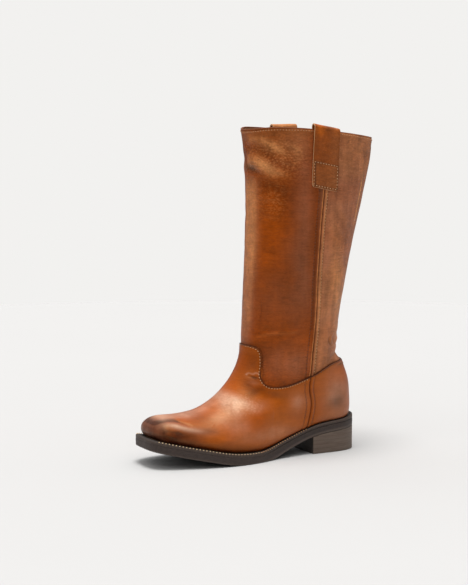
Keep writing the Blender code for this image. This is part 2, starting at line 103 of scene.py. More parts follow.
# back profile, heel feather to collar: the same columns
BACK = [(-4.5, 40.8, 27, 2.3), (-3.3, 52.0, 28, 2.3), (-3.3, 66.0, 29, 2.2), (-5.0, 81.0, 31, 2.2),
        (-9.5, 96.0, 34, 2.1), (-16.0, 106.5, 37, 2.1), (-22.0, 114.5, 40, 2.1), (-23.6, 125.0, 42, 2.1),
        (-21.2, 150.0, 48, 2.1), (-16.6, 181.0, 54, 2.15), (-9.0, 221.5, 60, 2.2), (1.2, 266.5, 66, 2.2),
        (12.0, 311.0, 70, 2.2), (20.5, 350.0, 72, 2.2), (23.2, 373.2, 72, 2.2)]
# sideways position of the ridge: y, x
RIDGE = [(-275.0, -3.0), (-240.0, -3.0), (-200.0, -2.0), (-160.0, -1.0), (-120.0, 0.0), (0.0, 0.0)]
# side seam: z, y
SIDE_SEAM = [(20.0, -73.0), (60.0, -71.4), (93.0, -71.3), (121.0, -70.8), (152.0, -69.5), (227.0, -68.2), (258.0, -67.0), (305.0, -64.4), (390.0, -61.6)]
# top edge of vamp and counter, from the back to the tongue top: y, z
VAMP_EDGE = [(-17.0, 107.8), (-26.0, 108.6), (-38.9, 107.7), (-52.1, 103.0), (-66.3, 95.8), (-78.4, 91.6), (-90.0, 88.2),
             (-103.0, 85.4), (-114.4, 84.4), (-124.0, 85.0), (-131.0, 87.6), (-134.8, 92.6), (-135.9, 98.5), (-134.6, 105.0),
             (-133.2, 112.0), (-132.8, 119.5), (-133.3, 125.0), (-136.0, 129.8), (-140.5, 132.2), (-145.7, 133.5)]
UNDERCUT, UNDERCUT_HEIGHT = 2.2, 13.0   # pull-in of the wall at the feather


# ---------------------------------------------------------------- curves
def spline(xs, ys):
    """natural cubic through the rows of a table, straight beyond its ends"""
    xs, ys = np.asarray(xs, float), np.asarray(ys, float)
    if xs[0] > xs[-1]:
        xs, ys = xs[::-1], ys[::-1]
    n, h = len(xs), np.diff(xs)
    a, r = np.eye(n), np.zeros(n)
    for i in range(1, n - 1):
        a[i, i - 1:i + 2] = h[i - 1], 2 * (h[i - 1] + h[i]), h[i]
        r[i] = 6 * ((ys[i + 1] - ys[i]) / h[i] - (ys[i] - ys[i - 1]) / h[i - 1])
    m = np.linalg.solve(a, r)
    s0 = (ys[1] - ys[0]) / h[0] - h[0] * (2 * m[0] + m[1]) / 6
    s1 = (ys[-1] - ys[-2]) / h[-1] + h[-1] * (m[-2] + 2 * m[-1]) / 6

    def at(x):
        x = np.asarray(x, float)
        c = np.clip(x, xs[0], xs[-1])
        i = np.clip(np.searchsorted(xs, c) - 1, 0, n - 2)
        p, q = (xs[i + 1] - c) / h[i], (c - xs[i]) / h[i]
        v = p * ys[i] + q * ys[i + 1] + ((p ** 3 - p) * m[i] + (q ** 3 - q) * m[i + 1]) * h[i] ** 2 / 6
        return v + np.minimum(x - xs[0], 0) * s0 + np.maximum(x - xs[-1], 0) * s1
    return at


def ease(t):
    t = np.clip(t, 0, 1)
    return t * t * (3 - 2 * t)


def column(rows, k):
    return spline([r[0] for r in rows], [r[k] for r in rows])


class Profile:
    """a smooth line in the side view, read by its length"""
    def __init__(self, rows, samples=700):
        r = np.array(rows, float)
        c = np.concatenate([[0], np.cumsum(np.hypot(np.diff(r[:, 0]), np.diff(r[:, 1])))])
        self.cols = [spline(c, r[:, k]) for k in range(r.shape[1])]
        self.t = np.linspace(0, c[-1], samples)
        self.p = np.stack([self.cols[0](self.t), self.cols[1](self.t)], 1)
        self.run = np.concatenate([[0], np.cumsum(np.hypot(*np.diff(self.p, axis=0).T))])
        self.length = self.run[-1]

    def at(self, s):
        t = np.interp(s, self.run, self.t)
        return np.stack([self.cols[0](t), self.cols[1](t)], -1)

    def length_at_z(self, z):
        k = np.nonzero((self.p[:-1, 1] - z) * (self.p[1:, 1] - z) <= 0)[0][-1]
        f = (z - self.p[k, 1]) / (self.p[k + 1, 1] - self.p[k, 1])
        return self.run[k] + f * (self.run[k + 1] - self.run[k])

    def distance(self, q):
        """distance of each point to the line, with the rounding depth and exponent there"""
        a, b = self.p[:-1], self.p[1:]
        ab = b - a
        l2 = (ab ** 2).sum(1)
        step, reach = 7, 10
        coarse = self.p[::step]
        window = np.arange(-reach, reach + 1)
        out = np.empty((len(q), 3))
        for i in range(0, len(q), 20000):
            c = q[i:i + 20000]
            k = ((c[:, None, 0] - coarse[None, :, 0]) ** 2 + (c[:, None, 1] - coarse[None, :, 1]) ** 2).argmin(1) * step
            w = np.clip(k[:, None] + window, 0, len(self.p) - 1)
            e = self.p[w]
            k = w[np.arange(len(c)), ((c[:, None, 0] - e[..., 0]) ** 2 + (c[:, None, 1] - e[..., 1]) ** 2).argmin(1)]
            d = np.full(len(c), 1e9)
            t = np.zeros(len(c))
            for o in (-1, 0):
                kk = np.clip(k + o, 0, len(a) - 1)
                f = np.clip(((c - a[kk]) * ab[kk]).sum(1) / l2[kk], 0, 1)
                e = np.hypot(*(c - a[kk] - ab[kk] * f[:, None]).T)
                n = e < d
                d = np.where(n, e, d)
                t = np.where(n, self.t[kk] + (self.t[kk + 1] - self.t[kk]) * f, t)
            out[i:i + 20000] = np.stack([d, self.cols[2](t), self.cols[3](t)], 1)
        return out.T


top, back = Profile(TOP), Profile(BACK)
vamp_edge = Profile(VAMP_EDGE)
seat, ridge, collar_z = column(SEAT, 1), column(RIDGE, 1), column(COLLAR, 1)
foot_w = {1: column(FOOT, 1), -1: column(FOOT, 2)}
leg_w = {1: column(LEG, 1), -1: column(LEG, 2)}
sole_w = {1: column(OUTLINE, 1), -1: column(OUTLINE, 2)}
seam_y = column(SIDE_SEAM, 1)


def fall(d, n):
    d = np.clip(d, 0, 1)
    return (1 - (1 - d) ** n) ** (1 / n)


def surface(p, side):
    """outer face of the boot over side-view points p (y, z); side 1 lateral, -1 medial"""
    y, z = p[:, 0], p[:, 1]
    dt, pt, nt = top.distance(p)
    db, pb, nb = back.distance(p)
    k = ease((z - 55) / 75) * ease((y + 190) / 70)
    w = foot_w[side](y) * (1 - k) + leg_w[side](z) * k
    w = w - UNDERCUT * (1 - np.clip((z - seat(y)) / UNDERCUT_HEIGHT, 0, 1)) ** 2
    x = ridge(y) * (1 - ease((z - 60) / 60)) + side * w * fall(dt / pt, nt) * fall(db / pb, nb)
    return np.stack([x, y, z], 1)


# ---------------------------------------------------------------- patches of the surface
def run_length(p):
    return np.concatenate([[0], np.cumsum(np.linalg.norm(np.diff(p, axis=0), axis=1))])


def even(line, side, n):
    """side-view line resampled so that its n points are evenly spaced on the surface"""
    r = run_length(surface(line, side))
    s = np.linspace(0, r[-1], n)
    return np.stack([np.interp(s, r, line[:, k]) for k in (0, 1)], 1)


def seat_line(y0, y1, n=260):
    y = y0 + (y1 - y0) * (1 - np.cos(np.pi * np.linspace(0, 1, n))) / 2
    return np.stack([y, seat(y) + FIT_GAP], 1)


def straight(a, b, n=260):
    t = ((1 - np.cos(np.pi * np.linspace(0, 1, n))) / 2)[:, None]
    return a + (b - a) * t


def collar_line(a, b):
    y = straight(a, b)[:, 0]
    return np.stack([y, collar_z(y)], 1)


def side_seam(z):
    return np.stack([seam_y(z), z], -1)


def block(low, high, left, right, rows, cols, side):
    """rows of surface points between four side-view lines"""
    low, high = even(low, side, 160), even(high, side, 160)
    out = []
    for v in rows:
        p = (1 - v) * low + v * high
        t = run_length(p)[:, None]
        t = t / t[-1]
        p = p + (1 - t) * (left(v) - p[0]) + t * (right(v) - p[-1])
        out.append(surface(even(p, side, cols + 1), side))
    return np.array(out)


def boot_rings(side):
    """half rings of the boot from back to front: foot block, then leg block"""
    za, ta, tb = ANKLE_Z, top.length_at_z(ANKLE_Z + 2), back.length_at_z(ANKLE_Z)
    y_side = -73.0
    z_side = float(collar_z(seam_y(384.0)))
    foot_rows = np.linspace(0, 1, FOOT_ROWS + 1) ** 1.15
    leg_rows = np.linspace(0, 1, LEG_ROWS + 1)[1:]
    ankle_seam = side_seam(np.array(za))
    collar_seam = side_seam(np.array(z_side))
    seam_foot = lambda v: side_seam(np.array((1 - v) * (float(seat(y_side)) + FIT_GAP) + v * za))
    seam_leg = lambda v: side_seam(np.array((1 - v) * za + v * z_side))
    low_b, low_f = seat_line(BACK[0][0], y_side), seat_line(y_side, TOP[0][0])
    mid_b, mid_f = straight(back.at(tb), ankle_seam), straight(ankle_seam, top.at(ta))
    end_b, end_f = collar_line(back.at(back.length), collar_seam), collar_line(collar_seam, top.at(top.length))
    b1 = block(low_b, mid_b, lambda v: back.at(v * tb), seam_foot, foot_rows, BACK_COLS, side)
    f1 = block(low_f, mid_f, seam_foot, lambda v: top.at(v * ta), foot_rows, FRONT_COLS, side)
    b2 = block(mid_b, end_b, lambda v: back.at(tb + v * (back.length - tb)), seam_leg, leg_rows, BACK_COLS, side)
    f2 = block(mid_f, end_f, seam_leg, lambda v: top.at(ta + v * (top.length - ta)), leg_rows, FRONT_COLS, side)
    return np.concatenate([np.concatenate([b1, f1[:, 1:]], 1), np.concatenate([b2, f2[:, 1:]], 1)], 0)


# ---------------------------------------------------------------- plan outlines
def half_outline(side, n=220):
    """sole outline from heel tip to toe tip: y, half width"""
    y = -SOLE_LENGTH * (1 - np.cos(np.pi * np.linspace(0, 1, n))) / 2
    t = np.clip((TOE_CAP - SOLE_LENGTH - y) / TOE_CAP, 0, 1)
    h = np.clip((y + HEEL_CAP) / HEEL_CAP, 0, 1)
    return y, sole_w[side](y) * (1 - t ** TOE_SQUARE) ** (1 / TOE_SQUARE) * (1 - h ** HEEL_SQUARE) ** (1 / HEEL_SQUARE)


def sole_loop():
    (y, a), (_, b) = half_outline(1), half_outline(-1)
    return np.concatenate([np.stack([a, y], 1), np.stack([-b, y], 1)[-2:0:-1]])


def feather_loop():
    line = seat_line(BACK[0][0], TOP[0][0])
    a, b = surface(line, 1)[:, :2], surface(line, -1)[:, :2]
    return np.concatenate([a, b[-2:0:-1]])


def inset(loop, d):
    """closed loop moved inwards by d"""
    r = run_length(np.concatenate([loop, loop[:1]]))
    s = np.linspace(0, r[-1], 401)[:-1]
    c = np.stack([np.interp(s, r, np.append(loop[:, k], loop[0, k])) for k in (0, 1)], 1)
    t = np.roll(c, -2, 0) - np.roll(c, 2, 0)
    t /= np.linalg.norm(t, axis=1)[:, None]
    n = np.stack([-t[:, 1], t[:, 0]], 1)
    if ((c - c.mean(0)) * n).sum() > 0:
        n = -n
    return c + n * d


def across(loop, y):
    """least and greatest x of a closed loop at the given y"""
    e = np.roll(loop, -1, 0)
    lo, hi = [], []
    for v in y:
        m = (loop[:, 1] - v) * (e[:, 1] - v) <= 0
        a, b = loop[m], e[m]
        f = np.where(a[:, 1] == b[:, 1], 0.0, (v - a[:, 1]) / np.where(a[:, 1] == b[:, 1], 1.0, b[:, 1] - a[:, 1]))
        x = a[:, 0] + f * (b[:, 0] - a[:, 0])
        lo.append(x.min())
        hi.append(x.max())
    return np.array(lo), np.array(hi)


def stations(y0, y1, n, ends=1.0):
    """y values between two ends, closer together towards rounded ends"""
    u = np.linspace(0, 1, n)
    return y0 + (y1 - y0) * ((1 - ends) * u + ends * (1 - np.cos(np.pi * u)) / 2)


# ---------------------------------------------------------------- finer sizes of the looks (mm)
# side seam as sewn, with the slight waver of the hand: z, y
SEAM_LINE = [(15.0, -76.4), (24.0, -76.0), (36.0, -74.4), (51.0, -71.0), (65.0, -70.0), (78.0, -72.3), (93.0, -71.5), (121.0, -71.1), (152.0, -69.2),
             (190.0, -68.7), (227.0, -68.4), (258.0, -67.7), (316.0, -63.9), (345.0, -62.8), (390.0, -61.6)]
EDGE_LIFT     = 1.15      # vamp and counter over the shaft
SEAM_STEP     = 0.42      # columns beside the side seam
SEAM_COLS     = 24
FRONT_REST, BACK_REST = 150, 72
VAMP_ROWS, SHAFT_ROWS = 150, 250
UNDERLAP      = 5.0       # shaft under the vamp's edge
ROW_FRONT, ROW_BACK, ROW_BACK_FOOT = -7.0, 4.4, 5.3      # stitch rows beside the side seam
STITCH        = {"vamp": (3.5, 1.8, 0.4), "seam": (3.6, 1.6, 0.48), "welt": (4.0, 1.5, 0.56), "waist": (3.6, 2.4, 0.46), "collar": (3.4, 2.0, 0.36), "strap": (3.7, 1.8, 0.46)}
# creases: part, side (0 both), form, depth, width, line of (y, z)
CREASES = [
    ("leg", 1, "ridge", 1.3, 5.0, [(-142.0, 376.0), (-137.0, 373.0), (-131.0, 369.5), (-124.0, 363.5), (-112.0, 358.0)]),
    ("leg", 1, "trough", 1.5, 7.1, [(-141.5, 366.0), (-137.0, 363.5), (-132.0, 360.0), (-126.0, 357.0), (-119.0, 356.0)]),
    ("leg", 1, "ridge", 2.2, 6.2, [(-141.0, 357.0), (-138.0, 351.5), (-132.0, 344.0), (-125.0, 335.5), (-118.0, 328.0)]),
    ("leg", 1, "trough", 1.5, 2.6, [(-140.0, 346.0), (-137.6, 342.0), (-135.0, 337.0), (-132.5, 332.0)]),
    ("leg", 1, "ridge", 0.9, 3.0, [(-132.0, 352.0), (-126.0, 343.0), (-117.0, 335.5), (-108.0, 331.0)]),
    ("leg", 1, "ridge", 0.7, 2.6, [(-128.0, 360.5), (-118.0, 352.0), (-106.0, 346.0), (-97.0, 344.0)]),
    ("leg", 1, "ridge", 0.6, 2.2, [(-118.0, 371.5), (-108.0, 367.0), (-98.0, 361.5), (-91.0, 353.0)]),
    ("leg", 1, "trough", 0.7, 7.0, [(-140.5, 330.0), (-131.0, 324.0), (-120.0, 318.0), (-106.0, 314.0)]),
    ("leg", 0, "trough", 0.45, 5.0, [(-138.0, 290.0), (-126.0, 284.0), (-112.0, 281.0)]),
    ("leg", 0, "trough", 0.4, 4.5, [(-137.0, 247.0), (-124.0, 243.0), (-108.0, 243.0)]),
    ("leg", 1, "ridge", 0.5, 2.2, [(-141.5, 136.5), (-137.0, 142.5), (-129.0, 146.5), (-118.0, 148.3), (-104.0, 148.8), (-90.0, 149.5)]),
    ("leg", 1, "trough", 0.4, 3.4, [(-140.0, 142.5), (-133.0, 149.0), (-122.0, 152.5), (-108.0, 153.0)]),
    ("leg", 1, "trough", 1.1, 1.7, [(-45.0, 141.5), (-48.5, 136.5), (-46.5, 132.0), (-42.0, 128.0)]),
    ("leg", 1, "ridge", 0.8, 1.7, [(-43.0, 142.0), (-45.5, 136.5), (-42.5, 131.5)]),
    ("leg", 1, "trough", 1.0, 1.6, [(-42.5, 140.0), (-40.5, 135.5), (-38.0, 130.5)]),
    ("leg", 1, "trough", 0.7, 1.8, [(-24.0, 132.0), (-31.0, 128.5), (-38.5, 126.5), (-46.0, 126.0)]),
    ("leg", 1, "ridge", 0.8, 2.2, [(-24.0, 138.0), (-30.5, 135.0), (-36.0, 133.0)]),
    ("leg", 1, "trough", 0.6, 2.4, [(-23.0, 146.0), (-28.0, 143.0), (-34.0, 142.0)]),
    ("leg", 1, "trough", 0.5, 1.6, [(-54.5, 112.0), (-54.0, 109.0), (-54.5, 106.0)]),
    ("leg", 0, "trough", 1.1, 3.6, [(-23.5, 121.0), (-32.0, 118.5), (-44.0, 117.0)]),
    ("leg", 1, "ridge", 0.5, 5.0, [(-48.0, 303.0), (-41.0, 291.0), (-33.0, 280.0), (-24.0, 270.0)]),
    ("leg", 1, "trough", 0.6, 5.5, [(-54.0, 300.0), (-46.0, 287.0), (-38.0, 275.0), (-30.0, 263.0)]),
    ("leg", 1, "trough", 0.7, 3.5, [(-31.0, 236.0), (-24.0, 228.0), (-18.0, 219.0)]),
    ("leg", 0, "trough", 0.9, 7.0, [(10.0, 352.0), (0.0, 356.0), (-12.0, 359.0), (-26.0, 361.0)]),
    ("leg", -1, "trough", 1.2, 7.0, [(-142.0, 360.0), (-134.0, 355.0), (-123.0, 351.0), (-110.0, 350.0)]),
    ("leg", -1, "ridge", 0.9, 7.0, [(-141.0, 345.0), (-131.0, 341.0), (-119.0, 338.0)]),
    ("leg", -1, "trough", 1.0, 3.2, [(-23.0, 126.0), (-33.0, 131.0), (-43.0, 138.0), (-50.0, 146.0)]),
    ("leg", -1, "ridge", 0.6, 3.4, [(-22.0, 135.0), (-31.0, 140.0), (-39.0, 148.0)]),
    ("leg", -1, "trough", 0.6, 5.0, [(-139.0, 158.0), (-128.0, 152.0), (-112.0, 150.0), (-96.0, 153.0)]),
    ("foot", 1, "trough", 0.3, 1.3, [(-151.0, 101.0), (-147.0, 98.5), (-142.0, 96.5), (-137.0, 96.0)]),
    ("foot", 1, "ridge", 0.3, 1.6, [(-152.0, 98.0), (-147.0, 95.0), (-142.0, 93.6)]),
    ("foot", 1, "trough", 0.35, 1.5, [(-148.0, 93.5), (-143.0, 92.0), (-138.0, 90.5), (-131.0, 88.0), (-125.0, 86.0)]),
    ("foot", 1, "trough", 0.25, 1.3, [(-139.0, 94.0), (-134.0, 92.5), (-129.0, 92.5)]),
    ("foot", 1, "trough", 0.25, 1.8, [(-154.0, 91.0), (-149.0, 87.5), (-144.0, 85.5)]),
    ("foot", 0, "trough", 1.5, 7.5, [(-160.0, 88.0), (-150.0, 84.0), (-138.0, 79.0), (-124.0, 74.0), (-104.0, 71.0)]),
    ("foot", 0, "ridge", 1.6, 10.0, [(-176.0, 60.0), (-160.0, 59.0), (-144.0, 56.0), (-124.0, 53.0)]),
    ("foot", 1, "trough", 1.0, 1.9, [(-263.0, 49.5), (-258.0, 51.6), (-252.0, 52.7), (-246.0, 52.9), (-239.0, 52.3), (-233.0, 49.8), (-225.0, 46.6)]),
    ("foot", 1, "ridge", 0.9, 3.8, [(-260.0, 46.5), (-255.0, 48.9), (-249.0, 49.2), (-242.0, 48.0), (-231.0, 44.8), (-219.0, 41.8), (-207.0, 39.6)]),
    ("foot", -1, "trough", 0.4, 2.4, [(-260.0, 49.0), (-252.0, 50.0), (-243.0, 49.0), (-233.0, 46.0)]),
    ("foot", -1, "ridge", 1.2, 4.4, [(-263.0, 43.0), (-254.0, 44.5), (-244.0, 43.5), (-230.0, 40.0), (-214.0, 36.0)]),
    ("foot", 0, "ridge", 1.1, 4.6, [(-266.5, 43.0), (-264.5, 48.5), (-259.0, 52.5), (-248.0, 55.0), (-232.0, 56.5)]),
]


def world(p):
    return (np.asarray(p, float) - np.array([ORIGIN[0], ORIGIN[1], 0.0])) * MM


seam_y = column(SEAM_LINE, 1)


def smooth_line(rows, n=48):
    r = np.array(rows, float)
    c = run_length(r)
    t = np.linspace(0, c[-1], n)
    return np.stack([spline(c, r[:, k])(t) for k in range(r.shape[1])], 1)


def near(q, line, reach=1e9):
    """distance to a line, share of its length at the nearest point, and the side of it (+ to the left)"""
    d, s, w = np.full(len(q), 1e3), np.zeros(len(q)), np.zeros(len(q))
    lo, hi = line.min(0) - reach, line.max(0) + reach
    idx = np.nonzero(((q > lo) & (q < hi)).all(1))[0]
    a, ab = line[:-1], np.diff(line, axis=0)
    l2, run = (ab ** 2).sum(1), run_length(line)
    for i in range(0, len(idx), 20000):
        k = idx[i:i + 20000]
        c = q[k]
        f = np.clip(((c[:, None, 0] - a[:, 0]) * ab[:, 0] + (c[:, None, 1] - a[:, 1]) * ab[:, 1]) / l2, 0, 1)
        ey, ez = c[:, None, 0] - a[:, 0] - ab[:, 0] * f, c[:, None, 1] - a[:, 1] - ab[:, 1] * f
        e = ey ** 2 + ez ** 2
        j, m = e.argmin(1), np.arange(len(c))
        d[k] = np.sqrt(e[m, j])
        s[k] = (run[j] + f[m, j] * np.sqrt(l2[j])) / run[-1]
        w[k] = np.sign(ab[j, 0] * ez[m, j] - ab[j, 1] * ey[m, j])
    return d, s, w


def match(loop, count, start):
    """closed loop as count points, evenly spaced, starting where it is nearest to start"""
    k = np.linalg.norm(loop - start, axis=1).argmin()
    c = np.roll(loop, -k, 0)
    c = np.concatenate([c, c[:1]])
    r = run_length(c)
    s = np.linspace(0, r[-1], count + 1)[:-1]
    return np.stack([np.interp(s, r, c[:, i]) for i in (0, 1)], 1)


def bell(x, w):
    return np.exp(-(x / w) ** 2)


def spot(q, y, z, ry, rz, tilt=0.0):
    """soft patch in the side view"""
    c, s = math.cos(math.radians(tilt)), math.sin(math.radians(tilt))
    u, v = q[:, 0] - y, q[:, 1] - z
    return np.exp(-((u * c + v * s) / ry) ** 2 - ((v * c - u * s) / rz) ** 2)


def above_edge(d, w):
    """distance above the vamp's edge, 0 below it"""
    return np.where((w < 0) | (d > 500), d, 0.0)


CREASE_LINES = [(part, side, form, depth, width, smooth_line(rows)) for part, side, form, depth, width, rows in CREASES]


def creases(q, side, part):
    r = np.zeros(len(q))
    for where, s, form, depth, width, line in CREASE_LINES:
        if where != part or s not in (0, side):
            continue
        d, f, _ = near(q, line, 3.2 * width)
        taper = np.sin(np.pi * np.clip(f, 0.0, 1.0)) ** 0.7 * 0.9 + 0.1
        r += (depth if form == "ridge" else -depth) * bell(d, width) * taper
    return r


def crease_shade_and_highlight(q, side, part):
    """painted shade down in the creases, painted highlight along their crests"""
    dark, pale = np.zeros(len(q)), np.zeros(len(q))
    for where, s, form, depth, width, line in CREASE_LINES:
        if where != part or s not in (0, side) or width > 7.0:
            continue
        d, f, _ = near(q, line, 3.2 * width)
        taper = np.sin(np.pi * np.clip(f, 0.0, 1.0)) ** 0.7
        if form == "ridge":
            pale += min(0.2 * depth, 0.3) * bell(d, width * 0.8) * taper
        else:
            dark += min(0.4 * depth, 0.5) * bell(d, width * 0.7) * taper
    return dark, pale


def waves(x, y, z, size):
    """slow unevenness of worked leather"""
    return size * (np.sin(x / 13.0 + z / 19.0 + 1.3) * np.sin(y / 17.0 - z / 23.0 + 0.4)
                   + 0.6 * np.sin(x / 7.1 - y / 9.7 + 2.1) * np.sin(z / 11.3 + y / 29.0)
                   + 0.35 * np.sin(x / 4.3 + z / 5.9) * np.sin(y / 5.1 - z / 8.3 + 0.7))


edge_line = vamp_edge.at(np.linspace(0, vamp_edge.length, 260))


def seam_relief(q, foot):
    if foot:
        return (-1.5 * bell(q, 0.85) + 0.75 * bell(q - 2.6, 1.5) + 0.35 * bell(q + 2.6, 1.7)
                - 0.32 * bell(q - ROW_FRONT, 0.7) - 0.34 * bell(q - ROW_BACK_FOOT, 0.65))
    return (-1.25 * bell(q, 0.7) + 0.85 * bell(q - 2.5, 1.3) + 0.25 * bell(q + 1.7, 0.9) + 0.18 * bell(q + 5.0, 2.2)
            - 0.34 * bell(q - ROW_FRONT, 0.65) - 0.34 * bell(q - ROW_BACK, 0.6))


def foot_relief(p, side):
    """how far the finished vamp and counter stand off the plain form"""
    y, z = p[:, 0], p[:, 1]
    h = z - seat(y)
    d, _, _ = near(p, edge_line, 40.0)
    q = y - seam_y(z)
    r = -1.7 * np.clip(1 - h / 4.5, 0, 1) ** 2
    r += EDGE_LIFT * bell(d, 10.0) - 0.3 * bell(d - 1.35, 0.6)
    r += seam_relief(q, True) * (1 - 0.5 * bell(d, 3.0))
    r += creases(p, side, "foot")
    r += 1.8 * bell(d, 5.0) * ease((y + 44) / 18)
    return r + waves(side * 30.0, y, z, 0.16)


def leg_relief(p, side):
    y, z = p[:, 0], p[:, 1]
    d, _, w = near(p, edge_line, 40.0)
    below = collar_z(y) - z
    q = y - seam_y(z)
    up = above_edge(d, w)
    r = -0.55 * bell(up, 7.0) + 3.0 * np.clip(1 - up / 9.5, 0, 1) * ease((y + 44) / 18)
    r += seam_relief(q, False) * (1 - ease((z - 322) / 14)) * ease((z - 86) / 8)
    r += -0.4 * bell(below - 1.1, 0.6) + 0.3 * bell(below - 2.6, 1.1) - 0.35 * bell(below - 9.0, 2.6) * ease((y + 40) / 50)
    r += creases(p, side, "leg") * ease(below / 9.0)
    r += 1.5 * bell(z - 357.0, 8.0) * bell(y + 138.0, 7.0)
    return r + waves(side * 40.0, y, z, 0.3) * ease(below / 12.0)


def finished(p, side, foot, lift=0.0):
    """points on the finished outer face over side-view points, and the normals there"""
    n = outward_at(p, side)
    f = foot_relief if foot else leg_relief
    return surface(p, side) + n * (f(p, side) + lift)[:, None], n


def outward_at(p, side, e=0.6):
    dy = (surface(p + [e, 0], side) - surface(p - [e, 0], side))[:, 0] / (2 * e)
    dz = (surface(p + [0, e], side) - surface(p - [0, e], side))[:, 0] / (2 * e)
    n = np.stack([np.ones(len(p)), -dy, -dz], 1) * side
    return n / np.linalg.norm(n, axis=1)[:, None]


# ---------------------------------------------------------------- fine grids of the form
def spread(total, rest, close_first):
    f = np.arange(SEAM_COLS + 1) * SEAM_STEP
    s = np.concatenate([f, np.linspace(f[-1], total, rest + 1)[1:]])
    return s if close_first else total - s[::-1]


def patch(low, high, left, right, rows, columns, side):
    """side-view grid between four lines"""
    low, high = even(low, side, 420), even(high, side, 420)
    grid = []
    for v in rows:
        p = (1 - v) * low + v * high
        t = run_length(p)[:, None]
        t = t / t[-1]
        grid.append(p + (1 - t) * (left(v) - p[0]) + t * (right(v) - p[-1]))
    grid = np.array(grid)
    x = surface(grid.reshape(-1, 2), side).reshape(*grid.shape[:2], 3)
    out = []
    for g, f in zip(grid, x):
        r = run_length(f)
        s = columns(r[-1])
        out.append(np.stack([np.interp(s, r, g[:, k]) for k in (0, 1)], 1))
    return np.array(out)


def split(line):
    """a line from back to front, cut where it crosses the side seam"""
    g = line[:, 0] - seam_y(line[:, 1])
    k = np.nonzero(g[:-1] * g[1:] <= 0)[0][0]
    f = g[k] / (g[k] - g[k + 1])
    c = line[k] + f * (line[k + 1] - line[k])
    return np.concatenate([line[:k + 1], [c]]), np.concatenate([[c], line[k + 1:]]), c


def rings(low, high, back_ends, top_ends, rows, side):
    """side-view grid from the back to the front with the side seam on one column"""
    lb, lf, lc = split(low)
    hb, hf, hc = split(high)
    mid = lambda v: side_seam(np.array((1 - v) * lc[1] + v * hc[1]))
    bk = lambda v: back.at(back_ends[0] + v * (back_ends[1] - back_ends[0]))
    fr = lambda v: top.at(top_ends[0] + v * (top_ends[1] - top_ends[0]))
    b = patch(lb, hb, bk, mid, rows, lambda t: spread(t, BACK_REST, False), side)
    f = patch(lf, hf, mid, fr, rows, lambda t: spread(t, FRONT_REST, True), side)
    return np.concatenate([b, f[:, 1:]], 1)


def whole(a, b):
    """closed rings from the two half grids"""
    return np.concatenate([a, b[:, -2:0:-1]], 1)


def grid_normals(p, closed=True):
    du = np.roll(p, -1, 1) - np.roll(p, 1, 1)
    if not closed:
        du[:, 0], du[:, -1] = p[:, 1] - p[:, 0], p[:, -1] - p[:, -2]
    dv = np.empty_like(p)
    dv[1:-1], dv[0], dv[-1] = p[2:] - p[:-2], p[1] - p[0], p[-1] - p[-2]
    n = np.cross(dv, du)
    return n / np.maximum(np.linalg.norm(n, axis=2), 1e-9)[:, :, None]


BACK_N = BACK_REST + SEAM_COLS
FRONT_N = FRONT_REST + SEAM_COLS
RING_N = 2 * (BACK_N + FRONT_N)


class Skin:
    """one grid of the boot's outer face: side-view points, space points with the relief, colours"""
    def __init__(self, low, high, back_ends, top_ends, rows, relief, tones):
        flat, shape, tone = [], [], []
        for side in (1, -1):
            g = rings(low, high, back_ends, top_ends, rows, side)
            q = g.reshape(-1, 2)
            flat.append(g)
            shape.append((surface(q, side).reshape(*g.shape[:2], 3), relief(q, side).reshape(g.shape[:2])))
            tone.append(tones(q, side).reshape(*g.shape[:2], -1))
        self.base = whole(shape[0][0], shape[1][0])
        off = whole(shape[0][1][:, :, None], shape[1][1][:, :, None])
        # the two sides' reliefs meet gently along the ridge lines
        for j in (0, BACK_N + FRONT_N):
            k = (j + np.arange(-6, 7)) % RING_N
            w = (1 - np.abs(np.arange(-6, 7)) / 7.0)[None, :, None]
            mean = off[:, k].mean(1, keepdims=True)
            off[:, k] = off[:, k] * (1 - w) + mean * w
        self.tone = whole(tone[0], tone[1])
        for j in (0, BACK_N + FRONT_N):
            k = (j + np.arange(-6, 7)) % RING_N
            w = (1 - np.abs(np.arange(-6, 7)) / 7.0)[None, :, None]
            mean = self.tone[:, k].mean(1, keepdims=True)
            self.tone[:, k] = self.tone[:, k] * (1 - w) + mean * w
        self.n0 = grid_normals(self.base)
        self.p = self.base + self.n0 * off
        self.n = grid_normals(self.p)

    def columns(self, front):
        if front:
            return np.arange(BACK_N, BACK_N + 2 * FRONT_N + 1)
        return np.arange(BACK_N + 2 * FRONT_N, RING_N + BACK_N + 1) % RING_N


# ---------------------------------------------------------------- where the colours change, and where light and shade are painted
# lines of painted tones on the foot: shade along the toe crease, a glint on the tongue's wrinkle, highlights along the
# toe's ridge, band and top edge
TOE_CREASE_SHADE_LINE = smooth_line([(-263.5, 49.2), (-258.0, 51.6), (-252.0, 52.7), (-246.0, 52.9), (-239.0, 52.3), (-233.0, 49.8), (-225.0, 46.6)])
TONGUE_GLINT = smooth_line([(-149.0, 100.0), (-146.0, 101.6), (-143.0, 100.6), (-140.0, 101.8), (-137.5, 101.0)])
RIDGE_HIGHLIGHT = smooth_line([(-252.0, 54.2), (-243.0, 55.0), (-232.0, 55.8), (-222.0, 56.5), (-210.0, 59.0), (-199.0, 62.5), (-188.0, 69.0)])
TOE_HIGHLIGHT_BAND = smooth_line([(-258.0, 48.6), (-254.0, 49.6), (-249.0, 49.0), (-243.0, 47.6), (-236.0, 45.4), (-226.0, 42.8), (-214.0, 41.2), (-200.0, 39.8)])
TOE_TOP_HIGHLIGHT = smooth_line([(-265.5, 48.0), (-262.5, 51.5), (-257.0, 53.8), (-248.0, 55.3), (-236.0, 56.2), (-222.0, 57.5)])
BURNISH_TOP = [(30.0, 40.0), (60.0, 39.0), (90.0, 33.0), (120.0, 26.0), (150.0, 22.0), (175.0, 27.0), (195.0, 34.0), (214.0, 40.0), (231.0, 44.0), (247.0, 47.0), (262.0, 50.0)]


